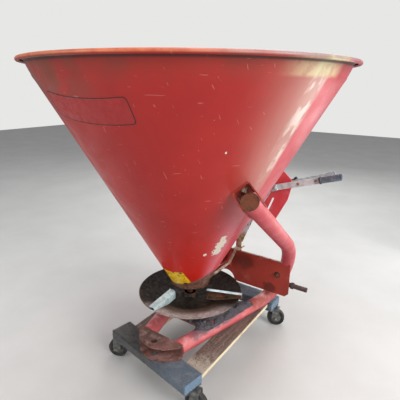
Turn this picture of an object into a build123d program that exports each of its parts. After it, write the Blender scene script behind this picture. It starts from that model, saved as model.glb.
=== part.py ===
from build123d import *
from math import atan2, cos, degrees, radians, sin, tan
import os

# Mounted single-disc fertilizer spreader parked on a small four-castor dolly.
# Millimetres. +Y points to the tractor, +X to the machine's right, +Z up.
# The origin is on the floor, on the hopper's own axis.

# Hopper: sheet cone with a steeper collar and a lip that is rolled outward
RIM_Z = 1238.0
LIP_R = 575.0
LIP_DROP = 15.0
COLLAR_TOP_R = 551.0
CREASE_R = 534.0
CREASE_Z = 1187.0
NECK_R = 80.0
NECK_Z = 368.0
HOPPER_T = 2.5
LIP_BEND_R = 5.0

# Hopper floor, shutter and outlet
FLOOR_T = 4.0
FLOOR_FLANGE = 3.0
PORT_R = (30.0, 62.0)
PORT_COUNT = 5
PORT_ARC = 13.0
SHUTTER_T = 3.0
SHUTTER_GAP = 0.3
SHUTTER_SIDE = 1.5
SHUTTER_IN = 10.0
SHUTTER_BORE_R = 24.0
SHAFT_CLEAR = 3.0
TONGUE_W = 12.0
FORK_HEAD_W = 34.0
TONGUE_FROM_Y = 45.0
TONGUE_BEND_Y = 236.0
TONGUE_RUN = 56.0
TONGUE_BEND_R = 4.0
TONGUE_OVER_PLATE = 6.0
TONGUE_PAST_LEVER = 18.0
FORK_SIDE = 2.5
CLIP_T = 7.0
CLIP_HALF = 22.0
CLIP_LIP = 7.0
CLIP_LIP_T = 3.0

# Agitator fingers above the floor
AGITATOR_UP = 30.0
AGITATOR_HUB_R = 21.5
AGITATOR_HUB_H = 32.0
FINGER_R = 6.0
FINGER_L = 72.0
SHAFT_UP = 90.0

# Spinner: dished disc, hub and channel vanes
DISC_R = 216.0
DISC_Z = 317.0
DISC_FLOOR_R = 120.0
DISC_DROP = 24.0
DISC_T = 3.0
DISC_BEND_R = 20.0
FOOT_EASE = 0.4
HUB_R = 27.0
HUB_H = 12.0
HUB_FLANGE_R = 41.0
HUB_FLANGE_T = 6.0
GEAR_GAP = 5.0
SHAFT_R = 12.5
SHAFT_SEAT = 25.0
VANE_RISE = 21.0
VANE_W = 26.0
VANE_T = 2.5
VANE_BEND_R = 9.0
VANE_SEAT_R = 110.0
VANE_IN = 30.0
VANE_OVER = 12.0
# seat angle, pitch
VANES = ((12.5, 8.5), (132.5, 15.0), (252.5, 23.0))

# Side tubes, given by the corners of the right-hand one, knee and heel measured in from the
# cross plate's end; the left one meets the hopper further forward
TUBE_R = 30.0
TUBE_WALL = 3.0
TUBE_TOP_Z = 828.0
TUBE_TOP_TURN = -28.07
LEFT_TOP_TURN = -8.0
TUBE_STANDOFF = 73.1
TUBE_KNEE_IN = 2.6
TUBE_KNEE_YZ = (334.5, 457.0)
TUBE_HEEL_IN = 106.6
TUBE_HEEL_YZ = (414.6, 172.0)
TUBE_END = (76.0, -195.0, 172.0)
KNEE_BEND_R = 380.0
HEEL_BEND_R = 100.0
TUBE_CAP_T = 3.0

# Saddle bracket that carries the tube's top end on the hopper
SADDLE_T = 4.0
SADDLE_L = 74.0
SADDLE_LEG = 66.0
SADDLE_WEB_T = 8.0
SADDLE_NOSE = 10.0
SADDLE_BEND_R = 12.0

# Gussets between hopper floor and cross plate
GUSSET_X = 22.0
GUSSET_T = 5.0
GUSSET_DEEP = 11.0
GUSSET_WEB = 43.0
VANE_CLEAR = 5.0

# Cross plate at the front
PLATE_Y = 313.0
PLATE_T = 5.0
PLATE_HALF = 326.0
PLATE_TOP = 402.0
PLATE_BOTTOM = 234.0
PLATE_CORNER = 16.0
TUNNEL_R = 46.0

# Rear clevis: two D-shaped flanges joined by a web
CLEVIS_TOP_Z = 202.0
CLEVIS_BOTTOM_Z = 142.0
CLEVIS_T = 5.0
CLEVIS_WEB_Y = -198.0
CLEVIS_HALF = 106.0
CLEVIS_NOSE_R = 90.0
CLEVIS_NOSE_Y = -184.5
CLEVIS_SIDE = 16.0
CLEVIS_SHOULDER = (60.0, 62.0)
CLEVIS_HOLE_R = 14.0
CLEVIS_HOLE_Y = -239.5

# Tractor hitch
LINK_PIN_R = 11.0
LINK_PIN_Y = 346.0
LINK_PIN_Z = 281.0
LINK_PIN_PAST = 74.0
PIN_COLLAR_R = 15.0
PIN_COLLAR_W = 12.0
LUG_IN = 36.0
LUG_T = 10.0
LUG_R = 18.0
MAST_X = 30.0
MAST_T = 8.0
MAST_W = 45.0
MAST_TOP = 815.0
MAST_Y = 352.0
MAST_NOTCH_Z = 396.0
MAST_FOOT_UP = 4.0
TOP_LINK_Z = 790.0
TOP_LINK_R = 10.0

# Gearbox, its carrier and the drive shaft
CARRIER_T = 6.0
CARRIER_Y = (-70.0, 95.0)
GEAR_Y = 10.0
GEAR_W = 112.0
GEAR_L = 126.0
GEAR_CORNER_R = 22.0
GEAR_TOP_Z = 272.0
DRIVE_Z = 240.0
DRIVE_R = 17.45
DRIVE_STEP_R = 15.0
DRIVE_FROM_Y = 20.0
DRIVE_SHOULDER = 3.0
DRIVE_END_Y = 205.0
RUN = 0.06

# Flow lever: hand bar and the arm that works the shutter
LEVER_PIVOT = (190.0, 727.0)
LEVER_Y = 333.0
LEVER_T = 5.0
LEVER_W = 26.0
LEVER_TAIL = 14.0
LEVER_BOSS = 3.0
LEVER_RISE = 17.6
GRIP_R = 14.5
GRIP_FROM = 229.0
GRIP_L = 88.0
GRIP_END_R = 8.0
TANG_W = 16.0
TANG_L = 68.0
ARM_TIP = (56.0, 399.0)
ARM_TIP_W = 17.0
ARM_TIP_L = 46.0
ARM_W = 30.0
ARM_MID = (99.0, 551.0)

# Quadrant plate and rate stop
QUADRANT_T = 5.0
QUADRANT_Y = 352.0
QUADRANT_FOOT = (640.0, 760.0)
QUADRANT_EDGE = ((150.0, 822.0), (236.0, 816.0), (281.0, 776.0), (284.0, 740.0),
                 (272.0, 684.0), (217.0, 573.0), (160.0, 590.0))
QUADRANT_SLOT = ((204.0, 678.0), (181.0, 619.0))
QUADRANT_SLOT_W = 9.0
STOP_Y = 363.0
STOP_RISE = 20.5
STOP_L = 286.0
STOP_W = 20.0
STOP_TAIL = 12.0
STOP_BOSS_R = 14.0
KNOB_OUT = 110.0
KNOB_R = 16.0
KNOB_LOBE_R = 7.0
KNOB_LOBES = 5
KNOB_H = 16.0
PIVOT_R = 6.0
PIVOT_COLLAR = 4.0
PIVOT_HEAD = 7.0
SIDE_PLAY = 1.0

# Dolly: two carpeted end blocks on two planks, one block knocked askew
FRONT_BLOCK = (8.5, 405.0)
FRONT_TURN = -1.0
REAR_BLOCK = (-17.0, -225.0)
REAR_TURN = -9.4
BLOCK_L = 457.0
BLOCK_W = 95.0
BLOCK_H = 44.0
BLOCK_TOP = CLEVIS_BOTTOM_Z
BLOCK_EDGE_R = 7.0
PLANK_RIGHT_EDGE = 214.0
PLANK_SPREAD = 410.0
PLANK_W = 89.0
PLANK_T = 19.0
PLANK_LET_IN = 20.0
CARPET_T = 6.0

# Castors: plate with kingpin, swivelling fork, wheel on its axle
WHEEL_R = 42.5
WHEEL_W = 25.0
WHEEL_EDGE_R = 3.0
CASTOR_TRAIL = 34.0
CASTOR_INSET = 31.0
CASTOR_PLATE = (60.0, 84.0)
CASTOR_PLATE_T = 3.0
RACE_R = 20.0
RACE_GAP = 0.5
FORK_T = 3.0
FORK_W = 34.0
FORK_HALF = 21.5
FORK_BELOW = 10.0
FORK_GAP = 1.5
FORK_BEND_R = 2.0
KING_R = 5.0
KING_HEAD = 4.0
AXLE_R = 4.0
AXLE_PAST = 3.0

os.makedirs("parts", exist_ok=True)


def save(name, shape):
    export_step(shape, "parts/" + name + ".step")


def both_sides(shape):
    return Compound([*shape.solids(), *mirror(shape, about=Plane.YZ).solids()])


def group(*shapes):
    return Compound([s for shape in shapes for s in shape.solids()])


def rounded_path(points, radii):
    # Straight legs joined by arcs; radii has one value for each inner corner.
    pts = [Vector(*p) for p in points]
    edges = []
    start = pts[0]
    for i in range(1, len(pts) - 1):
        a = (pts[i - 1] - pts[i]).normalized()
        b = (pts[i + 1] - pts[i]).normalized()
        r = radii[i - 1]
        half = a.get_angle(b) / 2
        reach = r / tan(radians(half))
        mid_dir = (a + b).normalized()
        mid = pts[i] + mid_dir * (r / sin(radians(half)) - r)
        p = pts[i] + a * reach
        q = pts[i] + b * reach
        edges.append(Line(start, p))
        edges.append(ThreePointArc(p, mid, q))
        start = q
    edges.append(Line(start, pts[-1]))
    return Wire([e.edge() if hasattr(e, "edge") else e for e in edges])


def sheet_face(points, t, r):
    # Closed strip of thickness t on the left of a flat line with bends of inner radius r.
    n = len(points)
    legs = [Vector(*points[i + 1]) - Vector(*points[i]) for i in range(n - 1)]
    norms = [Vector(-leg.Y, leg.X).normalized() for leg in legs]
    inner = [Vector(*points[0])]
    outer = [Vector(*points[0]) + norms[0] * t]
    turns = []
    for i in range(1, n - 1):
        bis = (norms[i - 1] + norms[i]).normalized()
        k = t / bis.dot(norms[i])
        inner.append(Vector(*points[i]))
        outer.append(Vector(*points[i]) + bis * k)
        turns.append(legs[i - 1].cross(legs[i]).Z)
    inner.append(Vector(*points[-1]))
    outer.append(Vector(*points[-1]) + norms[-1] * t)
    r_in = [r + t if turn > 0 else r for turn in turns]
    r_out = [r if turn > 0 else r + t for turn in turns]
    side_a = rounded_path([(v.X, v.Y) for v in inner], r_in)
    side_b = rounded_path([(v.X, v.Y) for v in outer], r_out)
    cap_a = Line(inner[0], outer[0]).edge()
    cap_b = Line(inner[-1], outer[-1]).edge()
    return Face(Wire([*side_a.edges(), cap_b, *side_b.edges(), cap_a]))


def cone_radius(z):
    return NECK_R + (z - NECK_Z) * (CREASE_R - NECK_R) / (CREASE_Z - NECK_Z)


def flat(points, plane=Plane.XZ):
    return plane * make_face(Polyline(*points, close=True))


def upright(r, z0, z1, x=0.0, y=0.0):
    return Pos(x, y, z0) * Cylinder(r, z1 - z0, align=(Align.CENTER, Align.CENTER, Align.MIN))


def across(r, x0, x1, y, z):
    low = min(x0, x1)
    return Pos(low, y, z) * Rot(0, 90, 0) * Cylinder(
        r, abs(x1 - x0), align=(Align.CENTER, Align.CENTER, Align.MIN))


def along(r, y0, y1, x, z):
    return Pos(x, y0, z) * Rot(-90, 0, 0) * Cylinder(
        r, y1 - y0, align=(Align.CENTER, Align.CENTER, Align.MIN))


# Hopper shell
hopper_line = [(NECK_R, NECK_Z), (CREASE_R, CREASE_Z), (COLLAR_TOP_R, RIM_Z - HOPPER_T),
               (LIP_R - HOPPER_T, RIM_Z - HOPPER_T), (LIP_R - HOPPER_T, RIM_Z - LIP_DROP)]
hopper_face = sheet_face(hopper_line, HOPPER_T, LIP_BEND_R)
save("hopper", revolve(Plane.XZ * hopper_face, Axis.Z))
cone_line = [(0, NECK_Z), (NECK_R, NECK_Z), (CREASE_R, CREASE_Z), (0, CREASE_Z)]
hopper_solid = revolve(flat(cone_line), Axis.Z)


# Hopper floor with outlet ports and the shaft's hole
def port_cut(z, arc_mid):
    ring = upright(PORT_R[1], z - HOPPER_T, z + 2 * FLOOR_T)
    ring -= upright(PORT_R[0], z - FLOOR_T, z + 3 * FLOOR_T)
    half = radians(PORT_ARC / 2)
    mid = radians(arc_mid)
    far = 2 * PORT_R[1]
    corners = [(0, 0), (far * cos(mid - half), far * sin(mid - half)),
               (far * cos(mid + half), far * sin(mid + half))]
    wedge = extrude(flat(corners, Plane(origin=(0, 0, z - FLOOR_T))), 4 * FLOOR_T)
    return ring & wedge


port_angles = [-90 + (k - (PORT_COUNT - 1) / 2) * 2 * PORT_ARC for k in range(PORT_COUNT)]
floor_r = NECK_R + FLOOR_FLANGE
floor_low = NECK_Z - FLOOR_T
hopper_floor = upright(floor_r, floor_low, NECK_Z)
hopper_floor -= upright(SHAFT_R + SHAFT_CLEAR, floor_low, NECK_Z)
for mid in port_angles:
    hopper_floor -= port_cut(floor_low, mid)
save("hopper_floor", hopper_floor)

# Rotary shutter below the floor; its forked tongue climbs over the cross plate
shutter_r = NECK_R - SHUTTER_IN
shutter_top = floor_low - SHUTTER_GAP
shutter_low = shutter_top - SHUTTER_T
shutter = upright(shutter_r, shutter_low, shutter_top)
for mid in port_angles:
    shutter -= port_cut(shutter_low, mid)
tongue_z = PLATE_TOP + TONGUE_OVER_PLATE
tongue_end = LEVER_Y + LEVER_T + TONGUE_PAST_LEVER
tongue_x = ARM_TIP[0]
tongue_line = [(TONGUE_FROM_Y, shutter_low), (TONGUE_BEND_Y, shutter_low),
               (TONGUE_BEND_Y + TONGUE_RUN, tongue_z), (tongue_end, tongue_z)]
tongue_face = Plane.YZ * sheet_face(tongue_line, SHUTTER_T, TONGUE_BEND_R)
tongue = Pos(tongue_x - TONGUE_W / 2, 0, 0) * extrude(tongue_face, TONGUE_W)
fork_from = LEVER_Y - TONGUE_OVER_PLATE
head_from = TONGUE_BEND_Y + TONGUE_RUN + 2 * SHUTTER_T
tongue += Pos(tongue_x, head_from, tongue_z) * Box(
    FORK_HEAD_W, tongue_end - head_from, SHUTTER_T, align=(Align.CENTER, Align.MIN, Align.MIN))
fork = Pos(tongue_x, fork_from, tongue_z) * Box(
    ARM_TIP_W + 2 * FORK_SIDE, tongue_end - fork_from, 4 * SHUTTER_T,
    align=(Align.CENTER, Align.MIN, Align.CENTER))
shutter += tongue
shutter -= upright(SHUTTER_BORE_R, shutter_low, shutter_top)
shutter -= fork
save("shutter", shutter)

# Clips that hold the shutter up against the floor
clip_low = shutter_low - SHUTTER_GAP - CLIP_LIP_T
clip_x = shutter_r + SHUTTER_SIDE
clip = Pos(clip_x, 0, clip_low) * Box(
    CLIP_T, 2 * CLIP_HALF, floor_low - clip_low, align=(Align.MIN, Align.CENTER, Align.MIN))
clip += Pos(clip_x - CLIP_LIP, 0, clip_low) * Box(
    CLIP_LIP, 2 * CLIP_HALF, CLIP_LIP_T, align=(Align.MIN, Align.CENTER, Align.MIN))
save("shutter_clips", both_sides(clip))

# Spinner disc
disc_floor_z = DISC_Z - DISC_DROP
dish_top = disc_floor_z + DISC_T
disc_points = [(SHAFT_R, disc_floor_z), (DISC_FLOOR_R, disc_floor_z), (DISC_R, DISC_Z)]
disc = revolve(Plane.XZ * sheet_face(disc_points, DISC_T, DISC_BEND_R), Axis.Z)
save("spinner_disc", disc)

# Shaft with the flange under the disc and the hub on it
shaft = upright(SHAFT_R, GEAR_TOP_Z - SHAFT_SEAT, NECK_Z + SHAFT_UP)
shaft += upright(HUB_R, GEAR_TOP_Z + GEAR_GAP, disc_floor_z)
shaft += upright(HUB_FLANGE_R, disc_floor_z - HUB_FLANGE_T, disc_floor_z)
shaft += upright(HUB_R, dish_top, dish_top + HUB_H)
save("spinner_shaft", shaft)

# Agitator: collar with three fingers
agitator_z = NECK_Z + AGITATOR_UP
agitator = upright(AGITATOR_HUB_R, agitator_z, agitator_z + AGITATOR_HUB_H)
finger_z = agitator_z + AGITATOR_HUB_H / 2
for turn in (0, 120, 240):
    agitator += Rot(0, 0, turn) * across(FINGER_R, SHAFT_R, FINGER_L, 0, finger_z)
agitator -= upright(SHAFT_R, agitator_z, agitator_z + AGITATOR_HUB_H)
save("agitator", agitator)

# Vanes: round-backed channels with level tops whose feet follow the dish
vane_top = DISC_Z + VANE_RISE
vane_low = disc_floor_z - DISC_T
vane_out = DISC_R + VANE_OVER - VANE_SEAT_R
vane_back = Plane.YZ * sheet_face(
    [(-VANE_W / 2, vane_top), (VANE_W / 2, vane_top), (VANE_W / 2, vane_low)][::-1], VANE_T, VANE_BEND_R)
foot_line = [(0, 0), (0, dish_top), (DISC_FLOOR_R - FOOT_EASE, dish_top), (DISC_R, DISC_Z + DISC_T),
             (DISC_R + VANE_OVER * 4, DISC_Z + DISC_T + VANE_OVER * 4 * DISC_DROP / (DISC_R - DISC_FLOOR_R)),
             (DISC_R + VANE_OVER * 4, 0)]
below = revolve(flat(foot_line), Axis.Z)
foot_block = Box(VANE_IN + vane_out, VANE_W, vane_top - vane_low, align=(Align.MIN, Align.CENTER, Align.MIN))
vane_list = []
for seat, pitch in VANES:
    place = Rot(0, 0, seat) * Pos(VANE_SEAT_R, 0, 0) * Rot(0, 0, pitch)
    back = place * Pos(-VANE_IN, 0, 0) * extrude(vane_back, VANE_IN + vane_out)
    foot = place * Pos(-VANE_IN, 0, vane_low) * foot_block
    foot = foot & (Pos(0, 0, VANE_T) * below)
    vane_list.append((back + foot) - below - disc)
save("vanes", group(*vane_list))

# Gearbox under the disc, on a carrier that bridges the lower tubes
carrier_z = TUBE_END[2] + TUBE_R
gear_low = carrier_z + CARRIER_T
gear_front = GEAR_Y + GEAR_L / 2
gearbox = Pos(0, GEAR_Y, gear_low) * Box(
    GEAR_W, GEAR_L, GEAR_TOP_Z - gear_low, align=(Align.CENTER, Align.CENTER, Align.MIN))
gearbox = fillet(gearbox.edges().filter_by(Axis.Z), GEAR_CORNER_R)
gearbox -= along(DRIVE_STEP_R + RUN, DRIVE_FROM_Y, gear_front, 0, DRIVE_Z)
gearbox -= upright(SHAFT_R + RUN, GEAR_TOP_Z - SHAFT_SEAT, GEAR_TOP_Z)
save("gearbox", gearbox)

tube_knee = (PLATE_HALF - TUBE_KNEE_IN, *TUBE_KNEE_YZ)
tube_heel = (PLATE_HALF - TUBE_HEEL_IN, *TUBE_HEEL_YZ)
tube_dx = (tube_heel[0] - TUBE_END[0]) / (tube_heel[1] - TUBE_END[1])


def tube_x(y):
    return TUBE_END[0] + (y - TUBE_END[1]) * tube_dx


carrier_pts = [(-tube_x(CARRIER_Y[0]), CARRIER_Y[0]), (tube_x(CARRIER_Y[0]), CARRIER_Y[0]),
               (tube_x(CARRIER_Y[1]), CARRIER_Y[1]), (-tube_x(CARRIER_Y[1]), CARRIER_Y[1])]
carrier = extrude(flat(carrier_pts, Plane(origin=(0, 0, carrier_z))), CARRIER_T)
save("gearbox_carrier", carrier)

drive = along(DRIVE_STEP_R, DRIVE_FROM_Y, gear_front + DRIVE_SHOULDER, 0, DRIVE_Z)
drive += along(DRIVE_R, gear_front + DRIVE_SHOULDER, DRIVE_END_Y, 0, DRIVE_Z)
save("drive_shaft", drive)

# Side tubes with their saddle brackets. Each tube runs from the hopper's flank over a knee and
# a heel to the rear clevis. Each bracket is U-shaped, web on the cone, legs on the tube, flush with its end.
top_r = cone_radius(TUBE_TOP_Z) + TUBE_STANDOFF
cone_tilt = atan2(CREASE_R - NECK_R, CREASE_Z - NECK_Z)


def bent_end(length, half, r):
    # Bracket outline that ends SADDLE_NOSE past the tube's centre, with round corners on the cone's side
    outline = Pos(SADDLE_NOSE, 0) * Rectangle(length, 2 * half, align=(Align.MAX, Align.CENTER))
    return fillet(outline.vertices().sort_by(Axis.X)[:2], r)


def right_side(top_turn):
    turn = radians(top_turn)
    tube_top = (top_r * cos(turn), top_r * sin(turn), TUBE_TOP_Z)
    path = rounded_path([tube_top, tube_knee, tube_heel, TUBE_END], [KNEE_BEND_R, HEEL_BEND_R])
    end_plane = Plane(origin=path @ 0, z_dir=path % 0)
    filled = sweep(end_plane * Circle(TUBE_R), path=path)
    pipe = sweep(end_plane * (Circle(TUBE_R) - Circle(TUBE_R - TUBE_WALL)), path=path)
    pipe += end_plane * Pos(0, 0, TUBE_CAP_T) * Cylinder(
        TUBE_R - TUBE_WALL, TUBE_CAP_T, align=(Align.CENTER, Align.CENTER, Align.MIN))
    pipe -= Pos(0, CLEVIS_WEB_Y + CLEVIS_T, TUBE_END[2]) * Box(
        4 * TUBE_END[0], 4 * TUBE_R, 4 * TUBE_R, align=(Align.CENTER, Align.MAX, Align.CENTER))
    axis = (path % 0).normalized()
    out = Vector(cos(turn) * cos(cone_tilt), sin(turn) * cos(cone_tilt), -sin(cone_tilt))
    out = (out - axis * out.dot(axis)).normalized()
    legs = bent_end(SADDLE_LEG + SADDLE_NOSE, TUBE_R + SADDLE_T, SADDLE_BEND_R)
    legs -= bent_end(SADDLE_LEG + SADDLE_NOSE - SADDLE_WEB_T, TUBE_R, SADDLE_BEND_R - SADDLE_T)
    bracket = extrude(Plane(origin=Vector(*tube_top), x_dir=out, z_dir=axis) * legs, SADDLE_L)
    bracket -= hopper_solid
    return pipe, filled, max(bracket.solids(), key=lambda part: part.volume)


right_tube, right_filled, right_saddle = right_side(TUBE_TOP_TURN)
left_tube, left_filled, left_saddle = [mirror(part, about=Plane.YZ) for part in right_side(LEFT_TOP_TURN)]
save("side_tube_right", right_tube)
save("side_tube_left", left_tube)
save("saddle_right", right_saddle)
save("saddle_left", left_saddle)

# Cross plate, coped round both tubes, with a tunnel for the drive line and lugs for the pins
plate_pts = [(-PLATE_HALF, PLATE_TOP), (PLATE_HALF, PLATE_TOP), (PLATE_HALF, PLATE_BOTTOM + PLATE_CORNER),
             (PLATE_HALF - PLATE_CORNER, PLATE_BOTTOM), (PLATE_CORNER - PLATE_HALF, PLATE_BOTTOM),
             (-PLATE_HALF, PLATE_BOTTOM + PLATE_CORNER)]
plate_front = PLATE_Y + PLATE_T
lug_x = PLATE_HALF - LUG_IN
plate = extrude(flat(plate_pts, Plane.XZ.offset(-plate_front)), PLATE_T)
plate -= along(TUNNEL_R, PLATE_Y, plate_front, 0, PLATE_BOTTOM)
lug = across(LUG_R, lug_x, lug_x + LUG_T, LINK_PIN_Y, LINK_PIN_Z)
lug += Pos(lug_x, plate_front, LINK_PIN_Z) * Box(
    LUG_T, LINK_PIN_Y - plate_front, 2 * LUG_R, align=(Align.MIN, Align.MIN, Align.CENTER))
lug -= across(LINK_PIN_R, lug_x, lug_x + LUG_T, LINK_PIN_Y, LINK_PIN_Z)
plate += lug
plate += mirror(lug, about=Plane.YZ)
plate -= right_filled
plate -= left_filled
plate = max(plate.solids(), key=lambda s: s.volume)
save("cross_plate", plate)

# Gussets that carry the hopper floor from the cross plate, under the shutter's tongue
arm_low = vane_top + VANE_CLEAR
arm_top = arm_low + GUSSET_DEEP
seat_y = shutter_r + SHUTTER_SIDE
gusset_pts = [(PLATE_Y, PLATE_TOP - GUSSET_T), (PLATE_Y - GUSSET_WEB, arm_top), (floor_r, arm_top),
              (floor_r, floor_low), (seat_y, floor_low), (seat_y, arm_low), (PLATE_Y - GUSSET_WEB, arm_low),
              (PLATE_Y, arm_low - GUSSET_WEB)]
gusset = extrude(flat(gusset_pts, Plane.YZ.offset(GUSSET_X)), GUSSET_T)
save("gussets", both_sides(gusset))


# Rear clevis
def clevis_flange(z):
    nose = upright(CLEVIS_NOSE_R, z, z + CLEVIS_T, 0, CLEVIS_NOSE_Y)
    keep = Pos(0, CLEVIS_WEB_Y, z) * Box(
        2 * CLEVIS_HALF, 2 * CLEVIS_NOSE_R, CLEVIS_T, align=(Align.CENTER, Align.MAX, Align.MIN))
    side_y = CLEVIS_WEB_Y - CLEVIS_SIDE
    front_x, deep = CLEVIS_SHOULDER
    pts = [(-CLEVIS_HALF, CLEVIS_WEB_Y), (CLEVIS_HALF, CLEVIS_WEB_Y), (CLEVIS_HALF, side_y),
           (front_x, CLEVIS_WEB_Y - deep), (-front_x, CLEVIS_WEB_Y - deep), (-CLEVIS_HALF, side_y)]
    flange = extrude(flat(pts, Plane(origin=(0, 0, z))), CLEVIS_T)
    flange += nose & keep
    return flange


clevis = clevis_flange(CLEVIS_TOP_Z - CLEVIS_T) + clevis_flange(CLEVIS_BOTTOM_Z)
clevis += Pos(0, CLEVIS_WEB_Y, CLEVIS_BOTTOM_Z) * Box(
    2 * CLEVIS_HALF, CLEVIS_T, CLEVIS_TOP_Z - CLEVIS_BOTTOM_Z, align=(Align.CENTER, Align.MIN, Align.MIN))
clevis -= upright(CLEVIS_HOLE_R, CLEVIS_BOTTOM_Z, CLEVIS_TOP_Z, 0, CLEVIS_HOLE_Y)
save("rear_clevis", clevis)

# Lower link pins in the lugs, with a collar against the plate's side
pin = across(LINK_PIN_R, lug_x, PLATE_HALF + LINK_PIN_PAST, LINK_PIN_Y, LINK_PIN_Z)
pin += across(PIN_COLLAR_R, PLATE_HALF, PLATE_HALF + PIN_COLLAR_W, LINK_PIN_Y, LINK_PIN_Z)
save("link_pins", both_sides(pin))

# Top link mast on the plate
mast_foot = PLATE_BOTTOM + TUNNEL_R + MAST_FOOT_UP
mast_pts = [(plate_front, mast_foot), (MAST_Y + MAST_W, mast_foot), (MAST_Y + MAST_W, MAST_TOP),
            (MAST_Y, MAST_TOP), (MAST_Y, MAST_NOTCH_Z), (plate_front, MAST_NOTCH_Z)]
mast = extrude(flat(mast_pts, Plane.YZ.offset(MAST_X - MAST_T / 2)), MAST_T)
mast -= across(TOP_LINK_R, MAST_X - MAST_T, MAST_X + MAST_T, MAST_Y + MAST_W / 2, TOP_LINK_Z)
save("mast", both_sides(mast))

# Quadrant plate carried by the mast
px, pz = LEVER_PIVOT
mast_side = MAST_X + MAST_T / 2
quad_pts = [(mast_side, QUADRANT_FOOT[0]), (mast_side, QUADRANT_FOOT[1]), *QUADRANT_EDGE]
quadrant = extrude(flat(quad_pts, Plane.XZ.offset(-QUADRANT_Y - QUADRANT_T)), QUADRANT_T)
quadrant -= along(PIVOT_R, QUADRANT_Y, QUADRANT_Y + QUADRANT_T, px, pz)
slot_a, slot_b = [Vector(*p) for p in QUADRANT_SLOT]
slot_run = slot_a - slot_b
slot_turn = degrees(atan2(slot_run.Y, slot_run.X))
slot_mid = (slot_a + slot_b) / 2
slot = Plane.XZ.offset(-QUADRANT_Y - QUADRANT_T) * Pos(slot_mid.X, slot_mid.Y) * Rot(0, 0, slot_turn) * (
    SlotCenterToCenter(slot_run.length, QUADRANT_SLOT_W))
quadrant -= extrude(slot, QUADRANT_T)
save("quadrant_plate", quadrant)

# Pivot bolt with spacers between the lever, the quadrant plate and the rate stop
stop_front = STOP_Y + LEVER_T
collar_r = PIVOT_R + PIVOT_COLLAR
pivot = along(PIVOT_R, LEVER_Y - PIVOT_HEAD, stop_front + PIVOT_HEAD, px, pz)
for y0, y1 in ((LEVER_Y - PIVOT_HEAD, LEVER_Y - SIDE_PLAY),
               (LEVER_Y + LEVER_T + SIDE_PLAY, QUADRANT_Y),
               (QUADRANT_Y + QUADRANT_T, STOP_Y - SIDE_PLAY),
               (stop_front + SIDE_PLAY, stop_front + PIVOT_HEAD)):
    pivot += along(collar_r, y0, y1, px, pz)
save("lever_pivot", pivot)

# Flow lever: hand bar and the arm that works the shutter, in one plane
lever_frame = Pos(px, LEVER_Y, pz) * Rot(0, -LEVER_RISE, 0)
bar_align = (Align.MIN, Align.MIN, Align.CENTER)
hand_bar = Pos(-LEVER_TAIL, 0, 0) * Box(GRIP_FROM + LEVER_TAIL, LEVER_T, LEVER_W, align=bar_align)
tang = Pos(GRIP_FROM, 0, 0) * Box(TANG_L, LEVER_T, TANG_W, align=bar_align)
tip_x, tip_z = ARM_TIP
tip_top = tip_z + ARM_TIP_L
arm_curve = ThreePointArc((tip_x, tip_top), ARM_MID, (px, pz))
arm = trace(arm_curve, line_width=ARM_W)
arm += Pos(tip_x, tip_z) * Rectangle(ARM_TIP_W, ARM_TIP_L + ARM_TIP_W, align=(Align.CENTER, Align.MIN))
arm += Circle(LEVER_W / 2 + LEVER_BOSS).moved(Location((px, pz)))
arm = extrude(Plane.XZ.offset(-LEVER_Y - LEVER_T) * arm, LEVER_T)
lever = lever_frame * (hand_bar + tang) + arm
lever -= along(PIVOT_R + RUN, LEVER_Y, LEVER_Y + LEVER_T, px, pz)
save("flow_lever", lever)
grip = Pos(GRIP_FROM, LEVER_T / 2, 0) * Rot(0, 90, 0) * Cylinder(
    GRIP_R, GRIP_L, align=(Align.CENTER, Align.CENTER, Align.MIN))
grip = fillet(grip.edges().sort_by(Axis.X)[-1], GRIP_END_R)
save("lever_grip", lever_frame * (grip - tang))

# Rate stop: bare bar on the far side of the quadrant, on the same pivot, with a lobed knob
stop_frame = Pos(px, STOP_Y, pz) * Rot(0, -STOP_RISE, 0)
stop = stop_frame * Pos(-STOP_TAIL, 0, 0) * Box(STOP_L + STOP_TAIL, LEVER_T, STOP_W, align=bar_align)
stop += along(STOP_BOSS_R, STOP_Y, stop_front, px, pz)
stop -= along(PIVOT_R + RUN, STOP_Y, stop_front, px, pz)
save("rate_stop", stop)
knob = Circle(KNOB_R)
for k in range(KNOB_LOBES):
    knob += Rot(0, 0, 360 * k / KNOB_LOBES) * Pos(KNOB_R, 0) * Circle(KNOB_LOBE_R)
knob = extrude(Plane.XZ.offset(-LEVER_T - KNOB_H) * Pos(KNOB_OUT, 0) * knob, KNOB_H)
save("stop_knob", stop_frame * knob)

# Dolly planks, let into the end blocks
front_at = Pos(FRONT_BLOCK[0], FRONT_BLOCK[1], 0) * Rot(0, 0, FRONT_TURN)
rear_at = Pos(REAR_BLOCK[0], REAR_BLOCK[1], 0) * Rot(0, 0, REAR_TURN)
block_low = BLOCK_TOP - BLOCK_H
plank_low = BLOCK_TOP - CARPET_T - PLANK_T
slope_front = sin(radians(FRONT_TURN))
slope_rear = sin(radians(REAR_TURN))
planks = {}
for name, edge in (("right", PLANK_RIGHT_EDGE), ("left", PLANK_RIGHT_EDGE - PLANK_SPREAD + PLANK_W)):
    x = edge - PLANK_W / 2
    y0 = REAR_BLOCK[1] + (x - REAR_BLOCK[0]) * slope_rear + BLOCK_W / 2 - PLANK_LET_IN
    y1 = FRONT_BLOCK[1] + (x - FRONT_BLOCK[0]) * slope_front - BLOCK_W / 2 + PLANK_LET_IN
    planks[name] = Pos(x, y0, plank_low) * Box(
        PLANK_W, y1 - y0, PLANK_T, align=(Align.CENTER, Align.MIN, Align.MIN))
    save("dolly_plank_" + name, planks[name])

# Carpeted end blocks
for name, place in (("front", front_at), ("rear", rear_at)):
    block = Pos(0, 0, block_low) * Box(
        BLOCK_L, BLOCK_W, BLOCK_H, align=(Align.CENTER, Align.CENTER, Align.MIN))
    block = place * fillet(block.edges(), BLOCK_EDGE_R)
    block -= planks["right"]
    block -= planks["left"]
    save("dolly_bar_" + name, block)

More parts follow.
